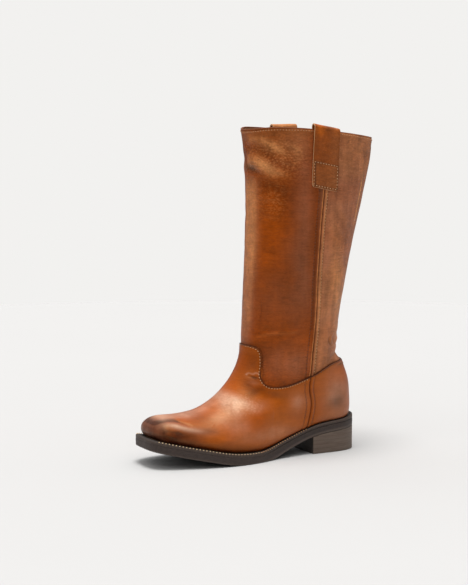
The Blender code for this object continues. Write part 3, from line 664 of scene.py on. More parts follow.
def foot_tones(q, side):
    """columns: burnish with painted shade, amber, rose with painted sheen, grain, painted highlight"""
    y, z = q[:, 0], q[:, 1]
    h = z - seat(y)
    d, _, _ = near(q, edge_line, 30.0)
    s = y - seam_y(z)
    toe = ease((-205 - y) / 40)
    crease, fc, _ = near(q, TOE_CREASE_SHADE_LINE, 30.0)
    crease = crease + 7.0 * ease((fc - 0.55) / 0.45)
    band, fb, _ = near(q, TOE_HIGHLIGHT_BAND, 30.0)
    limit = np.interp(-y, *np.array(BURNISH_TOP).T)
    front_face = ease((-253.5 - y) / 9.0)
    dark = (0.26 + 0.33 * toe) * ease((limit - z) / 6) * ease((-y - 20) / 60) * (1 - 0.5 * front_face)
    # painted shade where the upper meets the welt; darker low on the toe's front
    dark += (0.3 + 0.3 * ease((-120 - y) / 60)) * bell(h, 6.0) + 0.3 * ease((-248.0 - y) / 12.0) * ease((52.0 - z) / 4.0)
    # painted shade along the toe crease
    dark += 0.8 * bell(crease, 1.1) + 0.3 * bell(crease, 3.2)
    dark += 0.5 * spot(q, -244.0, 39.5, 20.0, 6.0, -5) + 0.45 * spot(q, -209, 41.5, 14, 4.2, -10) + 0.4 * spot(q, -212, 54, 26, 7, -6)
    dark += 0.85 * bell(d, 1.25) + 0.14 * bell(d, 7.0)
    # painted shade in the hollow at the tongue's base
    dark += 0.4 * spot(q, -142, 82, 15, 5, 25) + 0.2 * spot(q, -116, 76, 24, 6) + 0.3 * spot(q, -151, 88, 6, 10)
    dark += 0.6 * bell(s, 1.0) + 0.25 * bell(s - ROW_FRONT, 1.2) + 0.25 * bell(s - ROW_BACK_FOOT, 1.2)
    # darker tongue centre, and painted shade under the tongue's wrinkle and at its base
    dark += 0.35 * spot(q, -141, 118, 7, 13) + 0.55 * spot(q, -142, 96.3, 5, 1.9, -20) + 0.2 * spot(q, -132, 80, 26, 5, -14)
    dark += 0.1 * spot(q, -72, 58, 14, 24) + 0.75 * spot(q, -34, 61, 12, 8, 20) + 0.15 * spot(q, -112, 46, 20, 10) + 0.3 * spot(q, -147, 108, 14, 18)
    amber = spot(q, -146, 112, 12, 18) + spot(q, -218, 52.5, 30, 6.5, -8) + 0.7 * spot(q, -200, 60, 16, 9, -25) + 0.5 * spot(q, -160, 84, 12, 8)
    amber += 0.9 * spot(q, -148, 50, 16, 12) + 0.8 * spot(q, -134, 84, 26, 8, -14) + 0.35 * spot(q, -40, 86, 14, 10) + 0.35 * spot(q, -172, 42, 24, 10)
    squiggle, _, _ = near(q, TONGUE_GLINT, 8.0)
    ridge_highlight, _, _ = near(q, RIDGE_HIGHLIGHT, 12.0)
    amber *= 1 - 0.9 * ease((-234.0 - y) / 12.0)
    # rose: painted sheen beside the tongue's wrinkle, along the toe's highlight band, on its front face and on the
    # counter; dull rose low on the counter and the foot
    rose_and_sheen = 0.5 * spot(q, -144, 91, 6, 3) + 0.95 * bell(band, 3.6) * (1 - ease((fb - 0.45) / 0.5)) + 0.85 * spot(q, -30, 66, 24, 28, 10) + 0.3 * ease((y + 66) / 10) * bell(h, 12.0)
    rose_and_sheen += 0.85 * front_face + 0.35 * toe * ease((38 - z) / 6) + 0.55 * spot(q, -210, 41, 16, 6) + 0.35 * spot(q, -172, 46, 12, 8) + 0.12 * spot(q, -118, 33, 28, 9) + 0.15 * spot(q, -160, 28, 36, 8) + 0.2 * spot(q, -92, 50, 18, 14)
    # painted shade in the creases and painted highlight on their crests
    a, b = crease_shade_and_highlight(q, side, "foot")
    # painted highlights on the vamp and counter, along the creases' crests, the toe's top edge and band, the tongue's
    # wrinkle and the toe's ridge
    painted_highlight = 0.3 * spot(q, -167, 73, 12, 6, -25) + 0.2 * spot(q, -150, 64, 18, 7, 4) + 0.2 * spot(q, -174, 60, 12, 7, -30) + 0.12 * spot(q, -118, 33, 26, 9) + 0.14 * spot(q, -36, 72, 16, 24)
    painted_highlight += 0.14 * spot(q, -171, 44, 16, 10) + 0.08 * spot(q, -140, 30, 40, 8) + 0.2 * spot(q, -88, 66, 12, 10) + 0.55 * b * (y > -200)
    top_edge, ft, _ = near(q, TOE_TOP_HIGHLIGHT, 12.0)
    painted_highlight += 0.5 * bell(top_edge, 1.7) * ease((ft - 0.12) / 0.25) * (1 - 0.6 * ease((ft - 0.5) / 0.5))
    painted_highlight += 0.44 * bell(band, 1.9) * ease((fb - 0.03) / 0.25) * (1 - ease((fb - 0.3) / 0.6)) + 0.12 * spot(q, -187, 54, 12, 9) + 0.55 * spot(q, -173, 69, 9, 8)
    painted_highlight += 0.3 * bell(squiggle, 0.8) + 0.25 * bell(ridge_highlight, 2.2) * ease((y + 236) / 12) + 0.2 * spot(q, -157, 66, 10, 6)
    dark = np.clip(dark + 0.7 * a, 0, 1) * (1 - 0.6 * np.clip(painted_highlight, 0, 1))
    return np.stack([np.clip(v, 0, 1) for v in (dark, amber * (1 - 0.7 * np.clip(dark, 0, 1)), rose_and_sheen, 0.2 + 0.3 * spot(q, -162, 67, 26, 13), painted_highlight)], 1)


FRONT_LINE = [(z, y) for y, z in ((-145.6, 126.5), (-143.7, 143.5), (-141.2, 175.0), (-138.8, 214.5), (-136.5, 259.5), (-135.9, 304.0), (-137.2, 348.0), (-142.1, 384.0))]
# a painted glint near the back edge, and painted highlight bands on the fold under the collar: line, width, strength
BACK_GLINT = smooth_line([(-4.0, 332.0), (-5.0, 322.0), (-7.0, 311.0), (-9.5, 298.0), (-11.5, 286.0), (-14.5, 270.0)])
HIGHLIGHT_LINES = [(smooth_line(rows), width, much) for rows, width, much in (
    ([(-139.0, 357.0), (-135.5, 350.0), (-129.0, 343.0), (-122.0, 337.0), (-110.0, 332.0)], 4.6, 0.62),
    ([(-139.5, 377.0), (-134.0, 374.0), (-126.0, 369.0), (-117.0, 361.0), (-108.0, 354.0)], 3.6, 0.45),
    ([(-104.0, 372.0), (-100.0, 360.0), (-96.0, 346.0)], 6.0, 0.2))]


def leg_tones(q, side):
    y, z = q[:, 0], q[:, 1]
    d, _, w = near(q, edge_line, 30.0)
    s = y - seam_y(z)
    below = collar_z(y) - z
    front = ease((-y - 66) / 8)
    # painted shade on the shaft just above the vamp's raised edge; darker lines under the collar's rim and along the
    # seam
    dark = 0.6 * bell(above_edge(d, w), 1.05) + 0.25 * bell(d, 8.0)
    dark += 0.7 * bell(below - 1.0, 0.7) + 0.12 * bell(below - 7.0, 2.8)
    dark += 0.85 * bell(s, 0.8) + 0.3 * bell(s - ROW_FRONT, 1.1) + 0.5 * bell(s - ROW_BACK, 1.0)
    # the first patch: painted shade in the fold's trough under the collar
    dark += 0.35 * spot(q, -132, 361, 11, 6, -15) + 0.25 * spot(q, -104, 318, 20, 26) + 0.22 * spot(q, -90, 230, 16, 60)
    # the last patch: painted shade in the small dent at the front
    dark += 0.1 * spot(q, -120, 304, 12, 10) + 0.15 * spot(q, -60, 138, 12, 16) + 0.14 * spot(q, -118, 190, 22, 26) + 0.2 * spot(q, -40, 330, 16, 30) + 0.7 * spot(q, -136.5, 341, 2.2, 4.5)
    dark += 0.5 * bell(s + 4.6, 1.9) * (z > 150) * ease((z - 96) / 20) + 0.18 * spot(q, -112, 215, 24, 30)
    outline = y - np.interp(z, *np.array(FRONT_LINE).T)
    amber = spot(q, -114, 331, 22, 8, -8) + spot(q, -124, 300, 13, 12, -10) + 0.9 * spot(q, -121, 276, 15, 16) + 0.8 * spot(q, -120, 240, 16, 20)
    amber += 0.5 * spot(q, -126, 352, 20, 16) + 0.3 * bell(s + 4.9, 1.9) + 0.6 * spot(q, -86, 144, 12, 16) + 0.4 * spot(q, -118, 140, 24, 7) + 0.3 * spot(q, -112, 112, 16, 14)
    amber += 0.35 * (1 - front) * spot(q, -36, 300, 12, 60) + 0.4 * (1 - front) * spot(q, -46, 200, 9, 50)
    # rose: the back panel's duller tone, partly painted sheen, painted sheen along the front outline, and other dull
    # rose patches
    rose_and_sheen = (1 - front) * (0.85 + 0.3 * bell(z - 200, 120)) - 0.3 * (1 - front) * spot(q, -44, 215, 16, 60)
    rose_and_sheen += 0.35 * spot(q, -106, 190, 36, 34) + 0.2 * spot(q, -100, 246, 16, 24) + 0.25 * spot(q, -122, 344, 16, 8) + 0.5 * spot(q, -90, 322, 13, 50) + 0.45 * spot(q, -88, 240, 13, 60) + 0.4 * spot(q, -100, 368, 18, 14) + 0.5 * bell(outline, 3.2) * ease((338 - z) / 20) + 0.65 * spot(q, -96, 112, 34, 20)
    grain = 0.22 + 0.5 * spot(q, -116, 352, 30, 24) + 0.3 * spot(q, -122, 300, 16, 22)
    # painted highlights along the collar's rim and the band under it, on the fold under the collar, over the back
    # panel's top and bottom, and on the raised band beside the seam
    painted_highlight = 0.15 * bell(below - 2.7, 1.0) + 0.2 * spot(q, -110, 366, 24, 12) * (side > 0) + 0.15 * front * bell(below - 5.0, 6.0)
    painted_highlight += (1 - front) * (0.24 * ease((z - 318) / 20) + 0.24 * ease((236 - z) / 30)) + 0.5 * bell(s - 2.7, 1.5) * ease((z - 100) / 20)
    # painted highlight bands along the fold under the collar
    if side > 0:
        for line, width, much in HIGHLIGHT_LINES:
            e, share, _ = near(q, line, 30.0)
            painted_highlight += much * bell(e, width) * np.sin(np.pi * np.clip(share, 0.02, 0.98)) ** 0.6
    # painted shade in the creases and painted highlight on their crests
    a, b = crease_shade_and_highlight(q, side, "leg")
    dark, painted_highlight = dark + a, painted_highlight + b
    # painted reflection along the front outline, and a pale streak down the back panel
    painted_highlight += (0.6 * bell(outline - 0.2, 1.7) + 0.1 * bell(outline - 2.0, 3.5) * ease((z - 190) / 60)) * (0.55 + 0.45 * ease((z - 200) / 60)) * ease((338 - z) / 24) * ease((z - 120) / 60) + 0.4 * (1 - front) * spot(q, -40, 215, 11, 62, 8)
    # painted glint near the back edge, with painted shade just outside it
    glint, share, _ = near(q, BACK_GLINT, 12.0)
    painted_highlight += 1.3 * (side > 0) * bell(glint, 1.3) * np.sin(np.pi * np.clip(share, 0.03, 0.97)) ** 0.5
    dark += 0.35 * (side > 0) * bell(glint - 1.8, 1.2) * (y > -9) * (glint < 20)
    # small painted highlights, and a slightly lighter back panel
    painted_highlight += 0.06 * spot(q, -125, 303, 8, 3) * (side > 0) + 0.04 * spot(q, -124, 283, 8, 3) * (side > 0) + 0.14 * spot(q, -138, 374, 6, 6) + 0.07 * spot(q, -102, 370, 18, 10) + 0.07 * (1 - front) * ease((z - 150) / 20)
    return np.stack([np.clip(v, 0, 1) for v in (dark, amber * (1 - 0.8 * dark), rose_and_sheen, grain, painted_highlight)], 1)


# ---------------------------------------------------------------- mesh makers
def mesh(name, verts, faces, mats, tones=None, pick=None, sharp=0.75, metres=False):
    """object from points and equal-sided faces; pick gives each face's material"""
    verts = np.asarray(verts, float) if metres else world(verts)
    me = bpy.data.meshes.new(name)
    sizes = np.concatenate([np.full(len(f), len(f[0])) for f in faces if len(f)])
    loops = np.concatenate([np.asarray(f, np.int32).ravel() for f in faces if len(f)])
    me.vertices.add(len(verts))
    me.vertices.foreach_set("co", verts.astype(np.float32).ravel())
    me.loops.add(len(loops))
    me.loops.foreach_set("vertex_index", loops.astype(np.int32))
    me.polygons.add(len(sizes))
    me.polygons.foreach_set("loop_start", np.concatenate([[0], np.cumsum(sizes)[:-1]]).astype(np.int32))
    me.update(calc_edges=True)
    me.validate()
    for m in mats:
        me.materials.append(m)
    if pick is not None:
        me.polygons.foreach_set("material_index", np.asarray(pick, np.int32))
    if tones is not None:
        # tone attributes: burnish with painted shade, amber, rose with painted sheen, grain, painted highlight
        for k, key in enumerate(("burnish_and_shade", "amber", "rose_and_sheen", "grain", "painted_highlight")):
            if k < tones.shape[1]:
                a = me.attributes.new(key, "FLOAT", "POINT")
                a.data.foreach_set("value", tones[:, k].astype(np.float32))
    me.shade_smooth()
    if sharp:
        me.set_sharp_from_angle(angle=sharp)
    ob = bpy.data.objects.new(name, me)
    bpy.context.scene.collection.objects.link(ob)
    return ob


def grid_faces(m, n, wrap=False, first=0):
    i, j = np.meshgrid(np.arange(m - 1), np.arange(n if wrap else n - 1), indexing="ij")
    i, j = i.ravel(), j.ravel()
    k = (j + 1) % n
    return np.stack([i * n + j, (i + 1) * n + j, (i + 1) * n + k, i * n + k], 1) + first


def sweep(name, loops, mats, tones=None, cap_first=False, cap_last=False, closed=False, band=None, sharp=0.6):
    """closed loops of equal count joined in order, as the wall of a ring or a plate"""
    m, n = len(loops), len(loops[0])
    verts = np.concatenate(loops)
    f = grid_faces(m, n, True)
    if closed:
        j = np.arange(n)
        k = (j + 1) % n
        f = np.concatenate([f, np.stack([(m - 1) * n + j, j, k, (m - 1) * n + k], 1)])
    faces = [f]
    for on, base, flip in ((cap_first, 0, True), (cap_last, (m - 1) * n, False)):
        if on:
            j = np.arange(0, n // 2)
            a, b, c, e = j, j + 1, (n - j - 1) % n, (n - j) % n
            quads = np.stack([a, b, c, e], 1)[1:-1] + base
            tris = np.array([[0, 1, n - 1], [n // 2 - 1, n // 2, n // 2 + 1]]) + base
            faces += [quads[:, ::-1], tris[:, ::-1]] if flip else [quads, tris]
    t = None if tones is None else np.concatenate(tones)
    pick = None
    if band is not None:
        pick = np.concatenate([np.repeat(band, n)] + [np.full(len(x), band[0]) for x in faces[1:]])
    return mesh(name, verts, faces, mats, t, pick, sharp)


def thread(name, centres, normals, ways, length, radius, mats, slant=0.0, sink=0.5):
    """a row of stitches: each a short bent strand that dips into the leather at both ends"""
    c, n, t = (np.asarray(v, float) for v in (centres, normals, ways))
    t = t - (t * n).sum(1)[:, None] * n
    t /= np.linalg.norm(t, axis=1)[:, None]
    b = np.cross(n, t)
    if slant:
        t, b = t * math.cos(slant) + b * math.sin(slant), b * math.cos(slant) - t * math.sin(slant)
    steps, sides = np.array([-1.0, -0.82, -0.4, 0.0, 0.4, 0.82, 1.0]), 6
    width = np.array([0.45, 0.85, 1.0, 1.04, 1.0, 0.85, 0.45])
    drop = np.array([-1.15, -0.62, -0.1, 0.0, -0.1, -0.62, -1.15])
    a = np.arange(sides) * 2 * np.pi / sides
    verts = []
    for s, w, k in zip(steps, width, drop):
        mid = c + t * (s * length / 2) + n * (radius * (1 - sink) + k * radius)
        ring = mid[:, None] + radius * w * (np.cos(a)[None, :, None] * b[:, None] + np.sin(a)[None, :, None] * n[:, None])
        verts.append(ring)
    v = np.stack(verts, 1)                    # stitch, step, side
    m = len(c)
    k, s = len(steps), sides
    one = grid_faces(k, s, True)[:, ::-1]
    base = (np.arange(m) * k * s)[:, None, None]
    quads = (one[None] + base).reshape(-1, 4)
    ends = np.concatenate([np.arange(s)[None, :], ((k - 1) * s + np.arange(s))[None, ::-1]])
    caps = (ends[None] + base).reshape(-1, s)
    return mesh(name, v.reshape(-1, 3), [quads, caps], mats, sharp=0)


def spaced(line3, pitch, start=0.0, stop=None):
    """points every pitch along a line in space, and their directions"""
    r = run_length(line3)
    stop = r[-1] if stop is None else stop
    s = np.arange(start + pitch / 2, stop, pitch)
    p = np.stack([np.interp(s, r, line3[:, k]) for k in range(3)], 1)
    e = pitch * 0.3
    a = np.stack([np.interp(s - e, r, line3[:, k]) for k in range(3)], 1)
    b = np.stack([np.interp(s + e, r, line3[:, k]) for k in range(3)], 1)
    return p, b - a, s / r[-1]


def tube(name, line, radius, mats, sides=8, tones=None):
    """round cord along a line in space, closed at both ends"""
    t = np.gradient(line, axis=0)
    t /= np.linalg.norm(t, axis=1)[:, None]
    ref = np.array([1.0, 0.0, 0.0])
    b = np.cross(t, ref)
    b /= np.linalg.norm(b, axis=1)[:, None]
    c = np.cross(b, t)
    a = np.arange(sides) * 2 * np.pi / sides
    r = np.broadcast_to(np.asarray(radius, float), (len(line),))
    v = line[:, None] + r[:, None, None] * (np.cos(a)[None, :, None] * b[:, None] + np.sin(a)[None, :, None] * c[:, None])
    n = len(line)
    faces = [grid_faces(n, sides, True), np.array([np.arange(sides)[::-1], (n - 1) * sides + np.arange(sides)])]
    return mesh(name, v.reshape(-1, 3), faces, mats, None if tones is None else np.repeat(tones, sides, 0))


# ---------------------------------------------------------------- materials
def srgb(r, g, b):
    c = np.array([r, g, b]) / 255.0
    return tuple(float(v) for v in np.where(c <= 0.04045, c / 12.92, ((c + 0.055) / 1.055) ** 2.4))


class Paint:
    """a Principled material and short ways to its nodes"""
    def __init__(self, name, **sockets):
        self.m = bpy.data.materials.new(name)
        self.m.use_nodes = True
        self.t = self.m.node_tree
        self.b = self.t.nodes["Principled BSDF"]
        for k, v in sockets.items():
            self.b.inputs[k.replace("_", " ")].default_value = v
        self.at = self.t.nodes.new("ShaderNodeTexCoord").outputs["Object"]

    def feed(self, socket, value):
        if isinstance(value, bpy.types.NodeSocket):
            self.t.links.new(value, socket)
        elif isinstance(value, (tuple, list)) and len(value) == 3 and socket.type == "RGBA":
            socket.default_value = (*value, 1.0)
        else:
            socket.default_value = value

    def math(self, op, a, b=0.0, clamp=False):
        n = self.t.nodes.new("ShaderNodeMath")
        n.operation, n.use_clamp = op, clamp
        self.feed(n.inputs[0], a)
        self.feed(n.inputs[1], b)
        return n.outputs[0]

    def mix(self, f, a, b, how="MIX"):
        n = self.t.nodes.new("ShaderNodeMix")
        n.data_type, n.blend_type = "RGBA", how
        self.feed(n.inputs[0], f)
        self.feed(n.inputs[6], a)
        self.feed(n.inputs[7], b)
        return n.outputs[2]

    def place(self, stretch):
        if stretch is None:
            return self.at
        n = self.t.nodes.new("ShaderNodeMapping")
        n.inputs["Scale"].default_value = stretch
        self.t.links.new(self.at, n.inputs["Vector"])
        return n.outputs[0]

    def noise(self, scale, detail=3.0, rough=0.55, distort=0.0, stretch=None):
        n = self.t.nodes.new("ShaderNodeTexNoise")
        self.t.links.new(self.place(stretch), n.inputs["Vector"])
        for k, v in (("Scale", scale), ("Detail", detail), ("Roughness", rough), ("Distortion", distort)):
            n.inputs[k].default_value = v
        return n.outputs[0]

    def cells(self, scale, feature="F1", stretch=None):
        n = self.t.nodes.new("ShaderNodeTexVoronoi")
        n.feature = feature
        self.t.links.new(self.place(stretch), n.inputs["Vector"])
        n.inputs["Scale"].default_value = scale
        return n.outputs["Distance"]

    def tone(self, name):
        n = self.t.nodes.new("ShaderNodeAttribute")
        n.attribute_name = name
        return n.outputs["Fac"]

    def remap(self, v, a, b, c=0.0, d=1.0):
        n = self.t.nodes.new("ShaderNodeMapRange")
        self.feed(n.inputs[0], v)
        for i, x in enumerate((a, b, c, d)):
            n.inputs[i + 1].default_value = x
        return n.outputs[0]

    def bump(self, height, strength, distance, over=None):
        n = self.t.nodes.new("ShaderNodeBump")
        self.feed(n.inputs["Height"], height)
        self.feed(n.inputs["Strength"], strength)
        n.inputs["Distance"].default_value = distance
        if over is not None:
            self.t.links.new(over, n.inputs["Normal"])
        return n.outputs[0]

    def finish(self, colour, rough, normal=None):
        self.feed(self.b.inputs["Base Color"], colour)
        self.feed(self.b.inputs["Roughness"], rough)
        if normal is not None:
            self.t.links.new(normal, self.b.inputs["Normal"])
        return self.m


def leather(name, base, deep, dark, amber, rose_and_sheen, pale, tint, rough, coat, level, grain_size, grain_depth, streak=0.0, mottle=0.1, edge=0.0, lines_much=0.0, wavy=0.4):
    """dyed leather: cloudy dye, hand-burnished dark mixed with painted shade, amber areas, dull rose areas with painted
    sheen, pebbles with painted glints, fine cross wrinkles, painted highlights
    """
    p = Paint(name, Coat_Weight=coat, Coat_Roughness=0.3, Specular_IOR_Level=level, Specular_Tint=(*tint, 1.0))
    cloud = p.noise(22.0, 3.0, 0.55, 0.8)
    patchy = p.noise(70.0, 3.0, 0.55, 0.4)
    brush = p.noise(110.0, 3.0, 0.55, 0.3, (1.0, 1.0, 0.16))
    wipe = p.noise(210.0, 2.0, 0.5, 0.4, (0.22, 0.22, 1.5))
    blot = p.noise(190.0, 3.0, 0.6, 0.3, (0.6, 0.6, 1.0))
    wrinkle = p.remap(p.math("ABSOLUTE", p.math("SUBTRACT", p.noise(230.0, 2.0, 0.5, 0.5, (0.3, 0.3, 1.35)), 0.5)), 0.0, 0.08)
    pebble = p.remap(p.cells(1000.0 / grain_size, "SMOOTH_F1", (0.72, 0.72, 1.15)), 0.1, 0.62, 1.0, 0.0)
    fleck = p.noise(640.0, 0.5, 0.5, 0.5, (0.6, 0.6, 1.0))
    c = p.mix(p.remap(cloud, 0.32, 0.68), base, deep)
    f = p.math("MULTIPLY", p.tone("amber"), p.remap(patchy, 0.3, 0.7, 0.6, 1.15), True)
    c = p.mix(f, c, amber)
    # rose tone: dull rose, partly painted sheen
    f = p.math("MULTIPLY", p.tone("rose_and_sheen"), p.remap(cloud, 0.3, 0.7, 0.65, 1.1), True)
    c = p.mix(f, c, rose_and_sheen)
    # burnish tone: burnish and painted shade, towards the dark colour
    f = p.math("MULTIPLY", p.tone("burnish_and_shade"), p.remap(patchy, 0.3, 0.7, 0.7, 1.15), True)
    c = p.mix(f, c, dark)
    # painted highlight: the pale colour where marked
    f = p.math("MULTIPLY", p.tone("painted_highlight"), p.remap(patchy, 0.3, 0.7, 0.6, 1.1), True)
    c = p.mix(f, c, pale)
    # painted glints: the pale colour on the pebbles' crests where the grain is strong
    painted_glints = p.math("MULTIPLY", p.remap(fleck, 0.47, 0.66), p.remap(p.tone("grain"), 0.3, 1.0, 0.0, 0.5), True)
    c = p.mix(painted_glints, c, pale)
    shade = p.math("ADD", p.remap(patchy, 0.25, 0.75, 1.0 - mottle, 1.0 + mottle), p.remap(wipe, 0.25, 0.75, -0.8 * mottle, 0.8 * mottle))
    shade = p.math("ADD", shade, p.remap(blot, 0.25, 0.75, -0.8 * mottle, 0.8 * mottle))
    shade = p.math("ADD", shade, p.math("MULTIPLY", p.remap(fleck, 0.25, 0.75, -1.3 * mottle, 1.3 * mottle), p.remap(p.tone("grain"), 0.1, 0.8, 0.25, 1.0)))
    lines = p.math("MULTIPLY", p.remap(brush, 0.25, 0.75, -streak, streak), p.remap(p.tone("rose_and_sheen"), 0.0, 1.0, 0.4, 1.6))
    shade = p.math("ADD", shade, lines)
    # painted shade along the wrinkles' lines; the pebbles painted darker in their valleys and lighter on their crests
    shade = p.math("ADD", shade, p.math("MULTIPLY", p.math("SUBTRACT", wrinkle, 0.75), p.remap(patchy, 0.3, 0.65, lines_much * 0.3, lines_much)))
    valley = p.math("MULTIPLY", p.math("SUBTRACT", pebble, 0.6), p.math("MULTIPLY", p.tone("grain"), grain_depth * 0.35))
    shade = p.math("ADD", shade, valley)
    v = p.t.nodes.new("ShaderNodeCombineColor")
    for k in range(3):
        p.feed(v.inputs[k], shade)
    c = p.mix(1.0, c, v.outputs[0], "MULTIPLY")
    if edge:
        # painted shade: the colour darkens where the face turns away from the view
        w = p.t.nodes.new("ShaderNodeLayerWeight")
        w.inputs["Blend"].default_value = 0.5
        f = p.math("MULTIPLY", p.math("POWER", w.outputs["Facing"], 3.0), edge, True)
        c = p.mix(f, c, p.mix(1.0, c, (0.42, 0.3, 0.2), "MULTIPLY"))
    tiny = p.noise(2200.0 / grain_size, 2.0, 0.5)
    height = p.math("ADD", p.math("MULTIPLY", pebble, p.tone("grain")), p.math("MULTIPLY", tiny, 0.12))
    height = p.math("ADD", height, p.math("MULTIPLY", wrinkle, 0.3))
    height = p.math("ADD", height, p.math("MULTIPLY", p.math("MULTIPLY", fleck, p.tone("grain")), 1.2))
    soft = p.bump(p.noise(150.0, 2.0, 0.5, 0.5), wavy, 0.0012)
    normal = p.bump(height, grain_depth, 0.0005, soft)
    r = p.math("ADD", p.remap(patchy, 0.25, 0.75, rough - 0.04, rough + 0.05), p.math("MULTIPLY", p.tone("rose_and_sheen"), 0.06))
    return p.finish(c, r, normal)


def plain(name, base, other, rough, scale, depth, size, stretch=None, light=None, **more):
    """rubber, edges, thread and lining: two close colours in a fine noise, with a light tone where marked, partly
    painted highlight, and a darker tone where marked, partly painted shade
    """
    p = Paint(name, **more)
    a = p.noise(scale, 4.0, 0.6, 0.3, stretch)
    c = p.mix(p.remap(a, 0.3, 0.7), base, other)
    if light is not None:
        # where marked: the light tone, partly painted highlight, then a deep dark, partly painted shade (the heel's
        # breast, the welt's top face)
        c = p.mix(p.math("MULTIPLY", p.tone("amber"), p.remap(a, 0.2, 0.8, 0.8, 1.1), True), c, light)
        c = p.mix(p.math("MULTIPLY", p.tone("burnish_and_shade"), 1.0, True), c, tuple(v * 0.18 for v in base))
    n = p.bump(p.noise(1000.0 / size, 3.0, 0.6, 0.0, stretch), depth, 0.0004)
    return p.finish(c, p.remap(a, 0.25, 0.75, rough - 0.06, rough + 0.07), n)


# colours: base, deep, dark (burnish and painted shade), amber, rose (dull rose and painted sheen), pale (painted
# highlights and glints)
vamp_mat = leather("vamp_leather_polished", srgb(184, 89, 11), srgb(164, 75, 5), srgb(72, 26, 12), srgb(178, 78, 0), srgb(162, 106, 82), srgb(234, 194, 168), (1.0, 0.8, 0.42),
                   0.38, 0.0, 0.4, 2.0, 0.3, 0.05, 0.06, 0.45, 0.04, 0.14)
shaft_mat = leather("shaft_leather_grained", srgb(155, 66, 2), srgb(133, 53, 1), srgb(76, 28, 8), srgb(172, 74, 0), srgb(172, 106, 77), srgb(224, 150, 92), (1.0, 0.78, 0.35),
                    0.4, 0.0, 0.28, 2.2, 1.0, 0.18, 0.11, 0.0, 0.16)
strap_mat = leather("strap_leather_brown", srgb(166, 78, 12), srgb(142, 62, 8), srgb(78, 32, 12), srgb(204, 98, 4), srgb(164, 98, 56), srgb(214, 140, 84), (1.0, 0.86, 0.55),
                    0.42, 0.02, 0.36, 2.2, 0.6, 0.12, 0.12, 0.0, 0.08)
cut_mat = plain("cut_edge_tan", srgb(222, 176, 130), srgb(190, 138, 92), 0.62, 700.0, 0.4, 0.5)
edge_mat = plain("cut_edge_dark", srgb(84, 42, 20), srgb(64, 30, 14), 0.75, 500.0, 0.3, 0.6, Specular_IOR_Level=0.1)
fold_mat = plain("folded_edge_dark", srgb(140, 76, 40), srgb(112, 58, 30), 0.6, 500.0, 0.3, 0.8, Specular_IOR_Level=0.25)
tan_mat = plain("thread_tan_waxed", srgb(226, 176, 128), srgb(198, 146, 100), 0.6, 900.0, 0.5, 0.35)
rust_mat = plain("thread_rust_waxed", srgb(208, 152, 108), srgb(180, 126, 84), 0.6, 900.0, 0.5, 0.35)
lining_mat = plain("lining_leather_tan", srgb(176, 128, 88), srgb(158, 110, 72), 0.72, 240.0, 0.35, 0.9)
insole_mat = plain("insole_leather_tan", srgb(170, 126, 90), srgb(150, 106, 72), 0.74, 200.0, 0.35, 1.0)
cream_mat = plain("thread_cream_waxed", srgb(240, 212, 172), srgb(220, 184, 140), 0.6, 900.0, 0.5, 0.35)
brown_mat = plain("thread_brown_waxed", srgb(128, 72, 42), srgb(100, 55, 32), 0.6, 900.0, 0.5, 0.35)
# welt, sole and heel: their last colour is the light tone, partly painted highlight
welt_mat = plain("welt_edge_dressed", srgb(66, 51, 43), srgb(56, 43, 36), 0.6, 420.0, 0.5, 0.7, (1.0, 1.0, 0.5), srgb(96, 80, 68))
sole_mat = plain("sole_rubber_brown", srgb(60, 46, 40), srgb(51, 39, 34), 0.6, 320.0, 0.4, 0.6, None, srgb(92, 79, 70))
heel_mat = plain("heel_stack_grey_brown", srgb(113, 94, 81), srgb(88, 72, 62), 0.6, 34.0, 0.55, 0.9, (1.0, 1.0, 16.0), srgb(104, 91, 79))
tread_mat = plain("sole_underside", srgb(44, 38, 34), srgb(36, 31, 28), 0.8, 260.0, 0.5, 0.8)


# ---------------------------------------------------------------- vamp, counter and shaft
CROSS = split(edge_line)[2]
edge_top = top.length_at_z(float(edge_line[-1, 1]))
edge_back = back.length_at_z(float(edge_line[0, 1]))
u = np.linspace(0, 1, VAMP_ROWS)
foot_rows = u - 0.11 * np.sin(2 * np.pi * u) / (2 * np.pi) * 2
foot = Skin(seat_line(BACK[0][0], TOP[0][0], 700), edge_line, (0.0, edge_back), (0.0, edge_top), foot_rows, foot_relief, foot_tones)

tangent = np.gradient(edge_line, axis=0)
tangent /= np.linalg.norm(tangent, axis=1)[:, None]
to_shaft = np.stack([tangent[:, 1], -tangent[:, 0]], 1)
under = edge_line - to_shaft * UNDERLAP
under_top, under_back = top.length_at_z(float(under[-1, 1])), back.length_at_z(float(under[0, 1]))
rim = collar_line(back.at(back.length), top.at(top.length))
rim = np.stack([np.interp(np.linspace(0, 1, 700), np.linspace(0, 1, len(rim)), rim[:, k]) for k in (0, 1)], 1) - [0.0, 1.0]
u = np.linspace(0, 1, SHAFT_ROWS)
leg = Skin(under, rim, (under_back, back.length), (under_top, top.length), u, leg_relief, leg_tones)


def panel(name, skin, cols, head, foot_rows_, mats, pick_head=None):
    """part of a skin with extra rows over its top edge (head) and under its bottom edge"""
    p, n, t = skin.p[:, cols], skin.n[:, cols], skin.tone[:, cols]
    low, high = foot_rows_(p, n), head(p, n)
    # the added rows take the full dark tone: painted shade where the upper tucks in under its edge
    dark = lambda row, k: np.repeat((row * [0, 0, 0, 1, 0] + [1, 0, 0, 0, 0])[None], k, 0)
    full = np.concatenate([low, p, high])
    tone = np.concatenate([dark(t[0], len(low)), t, dark(t[-1], len(high))])
    f = grid_faces(*full.shape[:2])
    pick = None
    if pick_head is not None:
        row = np.arange(len(f)) // (full.shape[1] - 1)
        pick = np.where(row >= len(low) + len(p) - 1 + pick_head, 1, 0)
    return mesh(name, full.reshape(-1, 3), [f], mats, tone.reshape(-1, tone.shape[-1]), pick, 0.9)


